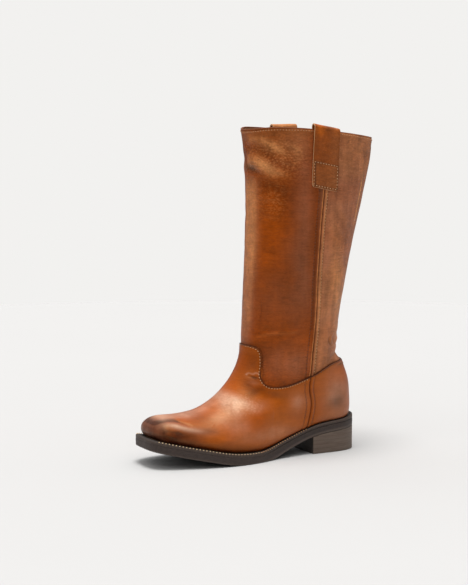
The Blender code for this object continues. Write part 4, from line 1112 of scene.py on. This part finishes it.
def edge_over(p, n):
    """the cut edge of vamp and counter, turned down onto the shaft"""
    t = p[-1] - p[-2]
    t /= np.linalg.norm(t, axis=1)[:, None]
    a = n[-2]
    return np.array([p[-1] + t * o - a * d for o, d in ((0.18, 0.06), (0.32, 0.22), (0.38, 0.5), (0.38, 0.9), (0.3, 1.9))])


def tucked(p, n):
    """the upper drawn in under the last's edge"""
    a = n[0] * [1, 1, 0]
    a /= np.linalg.norm(a, axis=1)[:, None]
    return np.array([p[0] - a * 2.6 - [0, 0, 0.25], p[0] - a * 0.7 - [0, 0, 0.15]])


def collar_over(p, n):
    a = n[-2] * [1, 1, 0]
    a /= np.linalg.norm(a, axis=1)[:, None]
    return np.array([p[-1] - a * 1.2 * (1 - math.cos(f)) + np.array([0, 0, 1.05 * math.sin(f)]) for f in np.radians((18, 38, 60, 90, 120, 145, 165, 180))])


nothing = lambda p, n: np.zeros((0, p.shape[1], 3))
vamp = panel("vamp", foot, foot.columns(True), edge_over, tucked, [vamp_mat, edge_mat], 0)
counter = panel("heel_counter", foot, foot.columns(False), edge_over, tucked, [vamp_mat, edge_mat], 0)
shaft_front = panel("shaft_front", leg, leg.columns(True), collar_over, nothing, [shaft_mat, fold_mat], 1)
shaft_back = panel("shaft_back", leg, leg.columns(False), collar_over, nothing, [shaft_mat, fold_mat], 1)

# lining: the inner face of the whole boot
FOOT_ROWS, LEG_ROWS, BACK_COLS, FRONT_COLS = 40, 48, 34, 52
inside = []
for side in (1, -1):
    g = boot_rings(side)
    q = g.reshape(-1, 3)[:, 1:]
    inside.append((g, (creases(q, side, "leg") * 0.9).reshape(g.shape[:2])[:, :, None]))
shell, off = whole(inside[0][0], inside[1][0]), whole(inside[0][1], inside[1][1])
shell = shell - grid_normals(shell) * (LEATHER_WALL - 0.02 - np.minimum(off, 0))
shell[-1, :, 2] -= 1.1
lining = mesh("shaft_lining", shell.reshape(-1, 3), [grid_faces(*shell.shape[:2], True)[:, ::-1]], [lining_mat], sharp=0)

# ---------------------------------------------------------------- side seams and stitching
extra = []
for side, word in ((1, "lateral"), (-1, "medial")):
    z = np.linspace(CROSS[1] + 1.0, 328.0, 240)
    q = np.stack([seam_y(z) - 1.75, z], 1)
    c, n = finished(q, side, False, 0.05)
    # the cord: amber, with a painted highlight along it
    cord = tube("side_cord_" + word, c, 0.6, [shaft_mat], 8, np.tile([0.0, 0.7, 0.1, 0.1, 0.62], (len(c), 1)))
    extra.append((cord, "shaft_leather"))
    rows, pale = [], []
    for offset, lo, hi, is_foot in ((ROW_FRONT, CROSS[1] + 4.0, 326.0, False), (ROW_BACK, CROSS[1] + 4.0, 326.0, False),
                                    (ROW_FRONT, 40.0, CROSS[1] - 6.0, True), (ROW_BACK_FOOT, 38.0, CROSS[1] - 5.0, True)):
        z = np.linspace(lo, hi, 300)
        q = np.stack([seam_y(z) + offset, z], 1)
        c, n = finished(q, side, is_foot)
        pitch = STITCH["seam"][0]
        s, t, f = spaced(c, pitch)
        qs = np.stack([np.interp(f, run_length(c) / run_length(c)[-1], q[:, k]) for k in (0, 1)], 1)
        (rows if offset < 0 or is_foot else pale).append((s, outward_at(qs, side), t))
    for part, group, mat, key in (("seam_brown_stitches_", rows, brown_mat, "thread_brown"), ("seam_tan_stitches_", pale, tan_mat, "thread_cream")):
        s, n, t = (np.concatenate([r[k] for r in group]) for k in range(3))
        extra.append((thread(part + word, s, n, t, STITCH["seam"][1], STITCH["seam"][2], [mat], 0.0, 0.5), key))

    # cream row along the vamp's edge, brown row along the counter's
    k = int(np.argmin(np.linalg.norm(edge_line - CROSS, axis=1)))
    inner = edge_line - to_shaft * 1.35
    for part, line, mat, key in (("vamp_edge_stitches_", inner[k + 3:], tan_mat, "thread_cream"), ("counter_edge_stitches_", inner[:k - 6], brown_mat, "thread_brown")):
        c, n = finished(line, side, True)
        keep = run_length(c)
        pitch, size, radius = STITCH["vamp"]
        first = keep[-1] % pitch if part.startswith("vamp") else 0.3
        s, t, f = spaced(c, pitch, first, keep[-1] - 0.02)
        qs = np.stack([np.interp(f, keep / keep[-1], line[:, j]) for j in (0, 1)], 1)
        extra.append((thread(part + word, s, outward_at(qs, side, 0.3), t, size, radius, [mat], 0.25 * side, 0.35), key))

    # fine row under the collar
    y = straight(back.at(back.length), top.at(top.length))[:, 0]
    line = np.stack([y, collar_z(y) - 2.5], 1)
    line[:, 0] = np.clip(line[:, 0], line[-1, 0] + 0.02, line[0, 0] - 0.02)
    c, n = finished(line[2:-2], side, False)
    pitch, size, radius = STITCH["collar"]
    s, t, f = spaced(c, pitch)
    r = run_length(c) / run_length(c)[-1]
    qs = np.stack([np.interp(f, r, line[2:-2, j]) for j in (0, 1)], 1)
    extra.append((thread("collar_stitches_" + word, s, outward_at(qs, side, 0.2), t, size, radius, [rust_mat], 0.0, 0.5), "thread_cream"))


# ---------------------------------------------------------------- pull straps
def strap_height(s, up):
    """how far the outer leg's middle stands off the shaft's plain form"""
    z_top = float(collar_z(STRAP_Y)) - 0.2 - STRAP_TILT * s * STRAP_WIDTH
    return FIT_GAP + 0.05 + STRAP_THICK / 2 + STRAP_LIFT * ease((up - STRAP_FREE_Z) / (z_top - STRAP_FREE_Z))


def strap_y(s, up):
    z_top = float(collar_z(STRAP_Y)) - 0.2 - STRAP_TILT * s * STRAP_WIDTH
    return STRAP_Y + s * STRAP_WIDTH + (up - z_top) * STRAP_LEAN


def pull_strap(name, side):
    half, across_n = STRAP_THICK / 2, 33
    cols = []
    for s in np.linspace(-0.5, 0.5, across_n):
        shear = -STRAP_TILT * s * STRAP_WIDTH
        rise = 0.6 if side > 0 else 2.3 + 6.4 * s
        z_top = float(collar_z(STRAP_Y)) - 0.2 + shear
        corner = max(0.0, abs(s) * STRAP_WIDTH - (STRAP_WIDTH / 2 - 2.6)) / 2.6
        z_low = STRAP_FOOT_Z + shear + 2.6 * (1 - math.sqrt(max(0.0, 1 - corner ** 2)))
        up = np.linspace(z_low, z_top, 64)
        line = np.stack([strap_y(s, up), up], 1)
        p, n = surface(line, side), outward_at(line, side)
        cup = 0.35 * math.cos(math.pi * s) * ease((up - STRAP_FREE_Z) / 20)
        outer = p + n * (strap_height(s, up) + cup)[:, None]
        outer[:, 2] += rise * ease((up - z_top + 40) / 40)
        down = np.linspace(z_top, z_top - STRAP_INSIDE, 26)
        line = np.stack([np.full(26, strap_y(s, z_top)), down], 1)
        q, m = surface(line, side), outward_at(line, side)
        inner = q - m * (LEATHER_WALL + FIT_GAP + 0.4 + half)
        inner[:, 2] += rise * ease((down - z_top + 25) / 25)
        c, r = (outer[-1] + inner[0]) / 2, (outer[-1] - inner[0]) / 2
        a = np.linspace(0, np.pi, 23)[1:-1]
        arch = c + np.outer(np.cos(a), r) + np.outer(np.abs(np.sin(a)) ** 0.8, [0, 0, STRAP_RISE - half + 0.25 * math.sin(5 * s)])
        cols.append(np.concatenate([outer, arch, inner]))
    g = np.array(cols)                        # across, along
    if side < 0:
        g = g[::-1]
    du = np.gradient(g, axis=0)
    dv = np.gradient(g, axis=1)
    n = np.cross(du, dv)
    n = n / np.linalg.norm(n, axis=2)[:, :, None]
    centre = surface(np.array([[STRAP_Y, 350.0]]), side)[0]
    if n[across_n // 2, 10] @ np.array([side, 0, 0]) < 0:
        n = -n
        flip = True
    else:
        flip = False
    m, k = g.shape[:2]
    face, lee = g + n * half, g - n * half
    # rim all round, slightly swollen
    loop = [(i, 0) for i in range(m)] + [(m - 1, j) for j in range(1, k)] + [(i, k - 1) for i in range(m - 2, -1, -1)] + [(0, j) for j in range(k - 2, 0, -1)]
    li, lj = np.array(loop).T
    w = np.zeros((len(loop), 3))
    w += (li == 0)[:, None] * -du[0, lj] / np.linalg.norm(du[0, lj], axis=1)[:, None]
    w += (li == m - 1)[:, None] * du[-1, lj] / np.linalg.norm(du[-1, lj], axis=1)[:, None]
    w += (lj == 0)[:, None] * -dv[li, 0] / np.linalg.norm(dv[li, 0], axis=1)[:, None]
    w += (lj == k - 1)[:, None] * dv[li, -1] / np.linalg.norm(dv[li, -1], axis=1)[:, None]
    w /= np.linalg.norm(w, axis=1)[:, None]
    mid, nn = g[li, lj], n[li, lj]
    rims = [mid + nn * half * a + w * b for a, b in ((0.8, 0.18), (0.35, 0.3), (0.06, 0.3), (0.0, 0.12), (-0.06, 0.3), (-0.35, 0.3), (-0.8, 0.18))]
    verts = [face.reshape(-1, 3), lee.reshape(-1, 3)] + rims
    size, ln = m * k, len(loop)
    i, j = np.meshgrid(np.arange(m - 1), np.arange(k - 1), indexing="ij")
    i, j = i.ravel(), j.ravel()
    quad = np.stack([i * k + j, (i + 1) * k + j, (i + 1) * k + j + 1, i * k + j + 1], 1)
    ring_ids = [li * k + lj] + [2 * size + r * ln + np.arange(ln) for r in range(len(rims))] + [size + li * k + lj]
    walls = []
    for a, b in zip(ring_ids[:-1], ring_ids[1:]):
        walls.append(np.stack([a, b, np.roll(b, -1), np.roll(a, -1)], 1))
    walls = np.concatenate(walls)
    if flip:
        quad = quad[:, ::-1]
        walls = walls[:, ::-1]
    faces = [quad, quad[:, ::-1] + size, walls]
    pick = np.concatenate([np.zeros(2 * len(quad)), np.ones(len(walls))])
    # tones: amber at the loop's two corners, dull towards the back edge, darker along the stitched box (painted shade
    # in its groove), at the middle of the top and near the sides, painted light over the far strap's top
    y, z = g[..., 1], g[..., 2]
    v = np.clip((z - 318) / 75, 0, 1)
    s = (y - STRAP_Y) / STRAP_WIDTH
    high = ease((z - 372) / 14)
    amber = 0.9 * high * bell(s + 0.28, 0.22) + 0.9 * high * bell(s - 0.36, 0.14) + 0.25 * bell(s + 0.1, 0.3) * bell(z - 366, 16)
    flat = z + STRAP_TILT * s * STRAP_WIDTH
    seam = np.abs(np.maximum(np.abs(s) * STRAP_WIDTH - (STRAP_WIDTH / 2 - 1.5), np.abs(flat - (STRAP_FOOT_Z + STRAP_FREE_Z + 0.7) / 2) - (STRAP_FREE_Z - STRAP_FOOT_Z - 3.1) / 2))
    dark = 0.15 * bell(z - 346, 4) + 0.35 * bell(s + 0.02, 0.2) * high + 0.2 * bell(np.abs(s) - 0.45, 0.06) + 0.3 * bell(flat - STRAP_FOOT_Z, 1.6)
    dark = dark + 0.7 * bell(seam, 0.9) * (z < STRAP_FREE_Z + 6) + 0.12 * (flat < STRAP_FREE_Z)
    rose_and_sheen = 0.35 * ease((s + 0.1) / 0.5)
    painted_highlight = (0.85 if side < 0 else 0.0) * ease((z - 370) / 8) + 0 * s
    tone = np.stack([dark, amber * (side > 0), rose_and_sheen + 0.2 + 0.1 * (flat < STRAP_FREE_Z), 0.35 + 0 * s, painted_highlight + 0.1 * (flat < STRAP_FREE_Z)], -1).clip(0, 1)
    t = np.concatenate([tone.reshape(-1, 5), tone.reshape(-1, 5)] + [tone[li, lj]] * len(rims))
    return mesh(name, np.concatenate(verts), faces, [strap_mat, cut_mat], t, pick, 0.8)


straps = {}
for side, word in ((1, "lateral"), (-1, "medial")):
    straps[word] = pull_strap("pull_strap_" + word + "_loop", side)
    w, low, high = STRAP_WIDTH / 2 - 1.5, STRAP_FOOT_Z + 1.9, STRAP_FREE_Z - 1.2
    tilt = lambda a: -STRAP_TILT * a
    box = [(-w, low), (-w, high), (w, high), (w, low)]
    pts = []
    for (a0, z0), (a1, z1) in zip(box, box[1:] + box[:1]):
        f = np.linspace(0, 1, 60)[:-1]
        pts += [(a0 + (a1 - a0) * v, z0 + (z1 - z0) * v) for v in f]
    a, z = np.array(pts).T
    z = z + tilt(a)
    q = np.stack([strap_y(a / STRAP_WIDTH, z), z], 1)
    n = outward_at(q, side)
    c = surface(q, side) + n * (strap_height(a / STRAP_WIDTH, z) + STRAP_THICK / 2 + 0.02)[:, None]
    pitch, size, radius = STITCH["strap"]
    s, t, f = spaced(np.concatenate([c, c[:1]]), pitch)
    idx = np.clip((f * len(c)).astype(int), 0, len(c) - 1)
    extra.append((thread("strap_stitches_" + word, s, n[idx], t, size, radius, [tan_mat], 0.0, 0.5), "thread_cream"))

# ---------------------------------------------------------------- welt, outsole, heel
STATIONS = 560
outer = match(sole_loop(), STATIONS, np.array([0.0, 0.0]))
tan = np.roll(outer, -2, 0) - np.roll(outer, 2, 0)
tan /= np.linalg.norm(tan, axis=1)[:, None]
out = np.stack([-tan[:, 1], tan[:, 0]], 1)
if ((outer - outer.mean(0)) * out).sum() < 0:
    out = -out
lip_in = inset(feather_loop(), WELT_INSIDE)
inner = match(lip_in, STATIONS, np.array([0.0, lip_in[:, 1].max()]))
ys = outer[:, 1]
sewn = ease((-70 - ys) / 8)
curl = 1.7 * ease((ys + 24) / 22)


def at_edge(o, dz, lift=0.0):
    return np.stack([outer[:, 0] + out[:, 0] * o, ys + out[:, 1] * o, seat(ys) + dz + lift], 1)


# welt and outsole tones: the dark tone, partly painted shade, and the light tone, partly painted highlight, go in the
# burnish and amber columns
def tone_of(dark, light):
    n = STATIONS
    return np.stack([np.broadcast_to(dark, n), np.broadcast_to(light, n), np.zeros(n), np.full(n, 0.4)], 1)


heel_zone = ease((ys + 150) / 40)
low_in = np.stack([inner[:, 0], inner[:, 1], seat(inner[:, 1]) - 3.4], 1)
top_in = np.stack([inner[:, 0], inner[:, 1], seat(inner[:, 1]) - 0.12], 1)
# welt rows, inner edge over the top and down the side: points, dark tone (painted shade on the top face), light tone
# (painted highlight on the curled lip towards the heel)
welt_rows = [
    (low_in, 0.5, 0.0), (top_in, 0.9, 0.0), (at_edge(-3.5, -0.06), 0.75, 0.0), (at_edge(-2.7, 0.0, curl * 0.5), 0.25, 0.1),
    (at_edge(-2.2, 0.0, curl * 0.8 - 0.2 * sewn), 0.6, 0.0), (at_edge(-1.5, 0.0, curl - 0.3 * sewn), 0.7, 0.0), (at_edge(-0.9, -0.05, curl - 0.3 * sewn), 0.6, 0.0),
    (at_edge(-0.45, -0.2, curl - 0.2 * sewn), 0.4 * sewn, 0.2 * (1 - sewn)), (at_edge(-0.12, -0.6, curl * 0.95), 0.1 * sewn, 0.3 * (1 - sewn)), (at_edge(0.0, -1.1, curl * 0.8), 0.0, 0.1),
    (at_edge(0.05, -1.9, curl * 0.3), 0.0, 0.1), (at_edge(0.04, -2.8), 0.0, 0.08), (at_edge(0.03 - 0.2 * heel_zone, -3.3), 0.3 * heel_zone, 0.0), (at_edge(-0.2 - 0.4 * heel_zone, -3.66), 0.5, 0.0)]
welt = sweep("welt_strip", [r[0] for r in welt_rows][::-1], [welt_mat],
             [tone_of(r[1] * (0.35 + 0.65 * heel_zone) if i > 10 else r[1], r[2] * (0.45 + 0.55 * heel_zone)) for i, r in enumerate(welt_rows)][::-1], closed=True)

bottom = np.maximum(seat(ys) - SOLE_THICK - 2.3 * bell(ys + 122, 27), 0.0)
tall = seat(ys) - 3.7 - bottom


def at_height(o, f, dz=0.0):
    """outline offset o, at share f of the outsole's height"""
    return np.stack([outer[:, 0] + out[:, 0] * o, ys + out[:, 1] * o, bottom + f * tall + dz], 1)


# outsole rows, top inside to the tread: points, dark tone (darker at the top near the heel), light tone (lighter low on
# the side and along the lower edge, partly painted highlight)
sole_rows = [
    (at_height(-7.0, 1.0, -0.2), 0.5, 0.0), (at_height(-0.7, 1.0, -0.1), 0.4, 0.0), (at_height(-0.02 - 0.14 * heel_zone, 1.0, -0.05 - 0.23 * heel_zone), 0.05 + 0.35 * heel_zone, 0.0),
    (at_height(0.02, 0.94), 0.15 * heel_zone, 0.0), (at_height(0.12, 0.8), 0.12 * heel_zone, 0.0), (at_height(0.16, 0.6), 0.12 * heel_zone, 0.0),
    (at_height(0.12, 0.45), 0.12 * heel_zone, 0.0), (at_height(0.08, 0.385), 0.15 * heel_zone, 0.1 * heel_zone), (at_height(-0.04 * 1, 0.35), 0.2 * heel_zone, 0.3 * heel_zone),
    (at_height(0.06, 0.31), 0.0, 0.65 * heel_zone), (at_height(0.08, 0.2), 0.0, 0.15 + 0.5 * heel_zone), (at_height(0.0, 0.11), 0.0, 0.5 + 0.2 * heel_zone),
    (at_height(-0.28, 0.045), 0.0, 0.55), (at_height(-0.75, 0.012), 0.0, 0.3), (at_height(-1.5, 0.0), 0.1, 0.0), (at_height(-7.0, 0.0), 0.2, 0.0)]
band = np.array([0] * 13 + [1] * 3)
outsole = sweep("outsole_edge", [r[0] for r in sole_rows][::-1], [sole_mat, tread_mat], [tone_of(r[1], r[2]) for r in sole_rows][::-1],
                cap_first=True, cap_last=True, band=band[::-1][:len(sole_rows) - 1])

# heel: the outline behind the breast, closed by a straight front with small rounded corners
breast, corner = -HEEL_LENGTH, 1.8
(hy, ha), (_, hb) = half_outline(1, 500), half_outline(-1, 500)


def heel_plan():
    y = np.linspace(0, 1, 150) ** 2 * (breast + corner)
    rows = []
    for s, w in ((1, ha), (-1, hb)):
        side_pts = np.stack([s * np.interp(-y, -hy, w), y], 1)
        xe = float(np.interp(-breast, -hy, w))
        a = np.linspace(0, np.pi / 2, 9)[1:]
        bend = np.stack([s * (xe - corner + corner * np.cos(a)), breast + corner - corner * np.sin(a)], 1)
        front = np.stack([np.linspace(s * (xe - corner), 0, 16)[1:], np.full(15, breast)], 1)
        rows.append(np.concatenate([side_pts, bend, front]))
    return np.concatenate([rows[0], rows[1][-2:0:-1]])


plan = heel_plan()
r = run_length(np.concatenate([plan, plan[:1]]))
s = np.linspace(0, r[-1], 421)[:-1]
plan = np.stack([np.interp(s, r, np.append(plan[:, k], plan[0, k])) for k in (0, 1)], 1)
ht = np.roll(plan, -1, 0) - np.roll(plan, 1, 0)
ht /= np.linalg.norm(ht, axis=1)[:, None]
hn = np.stack([-ht[:, 1], ht[:, 0]], 1)
if ((plan - plan.mean(0)) * hn).sum() < 0:
    hn = -hn
h_top = seat(plan[:, 1]) - SOLE_THICK - 0.12
loops, tones = [], []
for f in np.concatenate([[0.0, 0.0, 0.004, 0.012, 0.03], np.linspace(0.045, 0.985, 62), [0.995, 1.0]]):
    z = f * h_top
    o = -0.13 * bell((z + 0.35) % 4.6 - 2.3, 0.33) - 0.5 * np.clip(1 - z / 0.6, 0, 1) ** 2 - 0.12 * bell(h_top - z, 0.3)
    if len(loops) == 0:
        o = o - 2.5
    loops.append(np.stack([plan[:, 0] + hn[:, 0] * o, plan[:, 1] + hn[:, 1] * o, z], 1))
    # tones: layers a little different in colour with darker lines at the stack's grooves, lighter at the top, darker
    # just above the floor, and painted shade on the breast
    layer = np.floor((z + 0.35) / 4.6)
    light = 0.25 + 0.2 * np.sin(layer * 2.4 + 0.6) + 0.25 * bell(h_top - z, 2.0)
    dark = 0.3 * bell((z + 0.35) % 4.6 - 2.3, 0.35) + 0.25 * bell(z, 1.2) + ease((-hn[:, 1] - 0.6) / 0.3)
    tones.append(np.stack([dark.clip(0, 1), light * (1 - ease((-hn[:, 1] - 0.6) / 0.3)), 0 * z, 0.4 + 0 * z], 1))
n, m = len(plan), len(loops)
faces = [grid_faces(m, n, True), np.array([np.arange(n)]), np.array([(m - 1) * n + np.arange(n)[::-1]])]
pick = np.concatenate([np.zeros(len(faces[0])), [1], [0]])
heel = mesh("heel_stack_block", np.concatenate(loops), faces, [heel_mat, tread_mat], np.concatenate(tones), pick, 0.6)

# welt stitches, waist to waist round the toe
line = at_edge(-0.95, -0.25)
k0 = int(np.nonzero((ys < -74) & (outer[:, 0] > 0))[0][0])
k1 = int(np.nonzero((ys < -92) & (outer[:, 0] < 0))[0][-1])
c = line[k0:k1]
slope = np.gradient(seat(c[:, 1]), c[:, 1])
nn = np.stack([np.zeros(len(c)), -slope, np.ones(len(c))], 1)
nn /= np.linalg.norm(nn, axis=1)[:, None]
for part, at_waist, slant, mat in (("front", False, 0.25, cream_mat), ("waist", True, 1.0, tan_mat)):
    pitch, size, radius = STITCH["waist" if at_waist else "welt"]
    s, t, f = spaced(c, pitch)
    idx = np.clip((f * len(c)).astype(int), 0, len(c) - 1)
    keep = ((s[:, 1] > -146.0) == at_waist) & (s[:, 1] > -269.0)
    lean = np.where(s[keep][:, 0] > 0, 1.0, -1.0)
    for word, on in (("lateral", lean > 0), ("medial", lean < 0)):
        rest = s[keep][on]
        extra.append((thread("welt_stitches_" + part + "_" + word, rest, nn[idx][keep][on], t[keep][on], size, radius, [mat], slant if word == "lateral" else -slant, 0.15), "thread_cream"))

# ---------------------------------------------------------------- riding on the root, hidden frame parts, carried-over nodes
for ob, node, key in ((vamp, "upper", "vamp_leather"), (counter, "upper", "vamp_leather"), (shaft_front, "shaft", "shaft_leather"),
                      (shaft_back, "shaft", "shaft_leather"), (lining, "shaft", "lining_leather"), (welt, "welt", "welt_leather"),
                      (outsole, "outsole", "sole_rubber"), (heel, "heel_block", "heel_stack"),
                      (straps["lateral"], "pull_strap_lateral", "strap_leather"), (straps["medial"], "pull_strap_medial", "strap_leather")):
    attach(ob, "root")
    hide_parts(node)
for ob, key in extra:
    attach(ob, "root")
cad_insole = frame["nodes"]["insole"]
cad_insole.data.materials.clear()
cad_insole.data.materials.append(insole_mat)

# ---------------------------------------------------------------- floor, light, camera
floor_paint = Paint("floor_matt_white")
floor_mat = floor_paint.finish(floor_paint.mix(floor_paint.noise(3.0, 2.0), (0.575, 0.576, 0.58), (0.585, 0.586, 0.59)), 0.9)
floor_paint.b.inputs["Specular IOR Level"].default_value = 0.0
ang = np.arange(96) * 2 * np.pi / 96
disc = np.concatenate([[[0, 0, 0]]] + [np.stack([r * np.cos(ang), r * np.sin(ang), 0 * ang], 1) for r in (0.4, 0.8, 1.6)])
tri = np.stack([np.zeros(96, int), 1 + np.arange(96), 1 + (np.arange(96) + 1) % 96], 1)
floor = mesh("floor", disc, [tri, grid_faces(3, 96, True, 1)], [floor_mat], sharp=0, metres=True)

AZ, PITCH, DIST, FOCAL = math.radians(62.5), math.radians(6.27), 1.9087, 1632.6
aim = world([0.0, -156.31, 195.01])
back_way = np.array([math.sin(AZ) * math.cos(PITCH), -math.cos(AZ) * math.cos(PITCH), math.sin(PITCH)])
spot_at = aim + DIST * back_way
right = np.array([math.cos(AZ), math.sin(AZ), 0.0])
upward = np.cross(back_way, right)
cam = bpy.data.cameras.new("camera")
cam.sensor_fit, cam.sensor_height, cam.sensor_width = "VERTICAL", 36.0, 36.0 * 468 / 585
cam.lens = FOCAL * 36.0 / 585
cam.clip_start, cam.clip_end = 0.05, 60.0
camera = bpy.data.objects.new("camera", cam)
bpy.context.scene.collection.objects.link(camera)
from mathutils import Matrix, Vector
camera.matrix_world = Matrix(((right[0], upward[0], back_way[0], spot_at[0]), (right[1], upward[1], back_way[1], spot_at[1]),
                              (right[2], upward[2], back_way[2], spot_at[2]), (0, 0, 0, 1)))
bpy.context.scene.camera = camera

# a pale studio: lit white behind the boot, dimmer on the viewer's side; its backdrop is plain
sky = bpy.data.worlds.new("studio")
bpy.context.scene.world = sky
sky.use_nodes = True
wt = sky.node_tree
wt.nodes.clear()
wout, bg_light, bg_seen, choose, path = (wt.nodes.new("ShaderNode" + k) for k in ("OutputWorld", "Background", "Background", "MixShader", "LightPath"))
coord, dot, ramp, tint = (wt.nodes.new("ShaderNode" + k) for k in ("TexCoord", "VectorMath", "MapRange", "Mix"))
dot.operation = "DOT_PRODUCT"
dot.inputs[1].default_value = (0.887, -0.4617, 0.0)
ramp.interpolation_type = "SMOOTHSTEP"
ramp.inputs[1].default_value, ramp.inputs[2].default_value = -0.35, 0.55
tint.data_type = "RGBA"
tint.inputs[6].default_value = (0.6, 0.595, 0.59, 1.0)
tint.inputs[7].default_value = (0.12, 0.118, 0.114, 1.0)
wt.links.new(coord.outputs["Generated"], dot.inputs[0])
wt.links.new(dot.outputs["Value"], ramp.inputs[0])
wt.links.new(ramp.outputs[0], tint.inputs[0])
# a broad overhead panel
high, glow, total = (wt.nodes.new("ShaderNode" + k) for k in ("SeparateXYZ", "MapRange", "Mix"))
glow.interpolation_type = "SMOOTHSTEP"
for k, v in enumerate((0.5, 0.95, 0.0, 0.6)):
    glow.inputs[k + 1].default_value = v
total.data_type, total.blend_type, total.clamp_factor = "RGBA", "ADD", True
total.inputs[7].default_value = (1.0, 0.985, 0.96, 1.0)
wt.links.new(coord.outputs["Generated"], high.inputs[0])
wt.links.new(high.outputs[2], glow.inputs[0])
wt.links.new(glow.outputs[0], total.inputs[0])
low, dim = wt.nodes.new("ShaderNodeMapRange"), wt.nodes.new("ShaderNodeMix")
low.interpolation_type = "SMOOTHSTEP"
for k, v in enumerate((0.02, 0.34, 0.3, 1.0)):
    low.inputs[k + 1].default_value = v
dim.data_type, dim.blend_type = "RGBA", "MIX"
dim.inputs[6].default_value = (0.0, 0.0, 0.0, 1.0)
wt.links.new(high.outputs[2], low.inputs[0])
wt.links.new(low.outputs[0], dim.inputs[0])
wt.links.new(tint.outputs[2], dim.inputs[7])
wt.links.new(dim.outputs[2], total.inputs[6])
wt.links.new(total.outputs[2], bg_light.inputs[0])
bg_seen.inputs[0].default_value = (0.888, 0.880, 0.864, 1.0)
wt.links.new(path.outputs["Is Camera Ray"], choose.inputs[0])
wt.links.new(bg_light.outputs[0], choose.inputs[1])
wt.links.new(bg_seen.outputs[0], choose.inputs[2])
wt.links.new(choose.outputs[0], wout.inputs[0])

for word, energy, angle, way in (("top_softbox", 2.3, 24, (0.08, -0.05, 0.99)), ("front_softbox", 0.3, 44, (0.66, -0.2, 0.72)), ("toe_softbox", 0.45, 50, (0.3, -0.72, 0.62))):
    sun = bpy.data.lights.new(word, "SUN")
    sun.energy, sun.angle, sun.color = energy, math.radians(angle), (1.0, 0.985, 0.96)
    lamp = bpy.data.objects.new(word, sun)
    bpy.context.scene.collection.objects.link(lamp)
    lamp.rotation_euler = Vector(way).to_track_quat("Z", "Y").to_euler()

view = bpy.context.scene.view_settings
view.view_transform, view.look, view.exposure, view.gamma = "Standard", "None", 0.0, 1.0
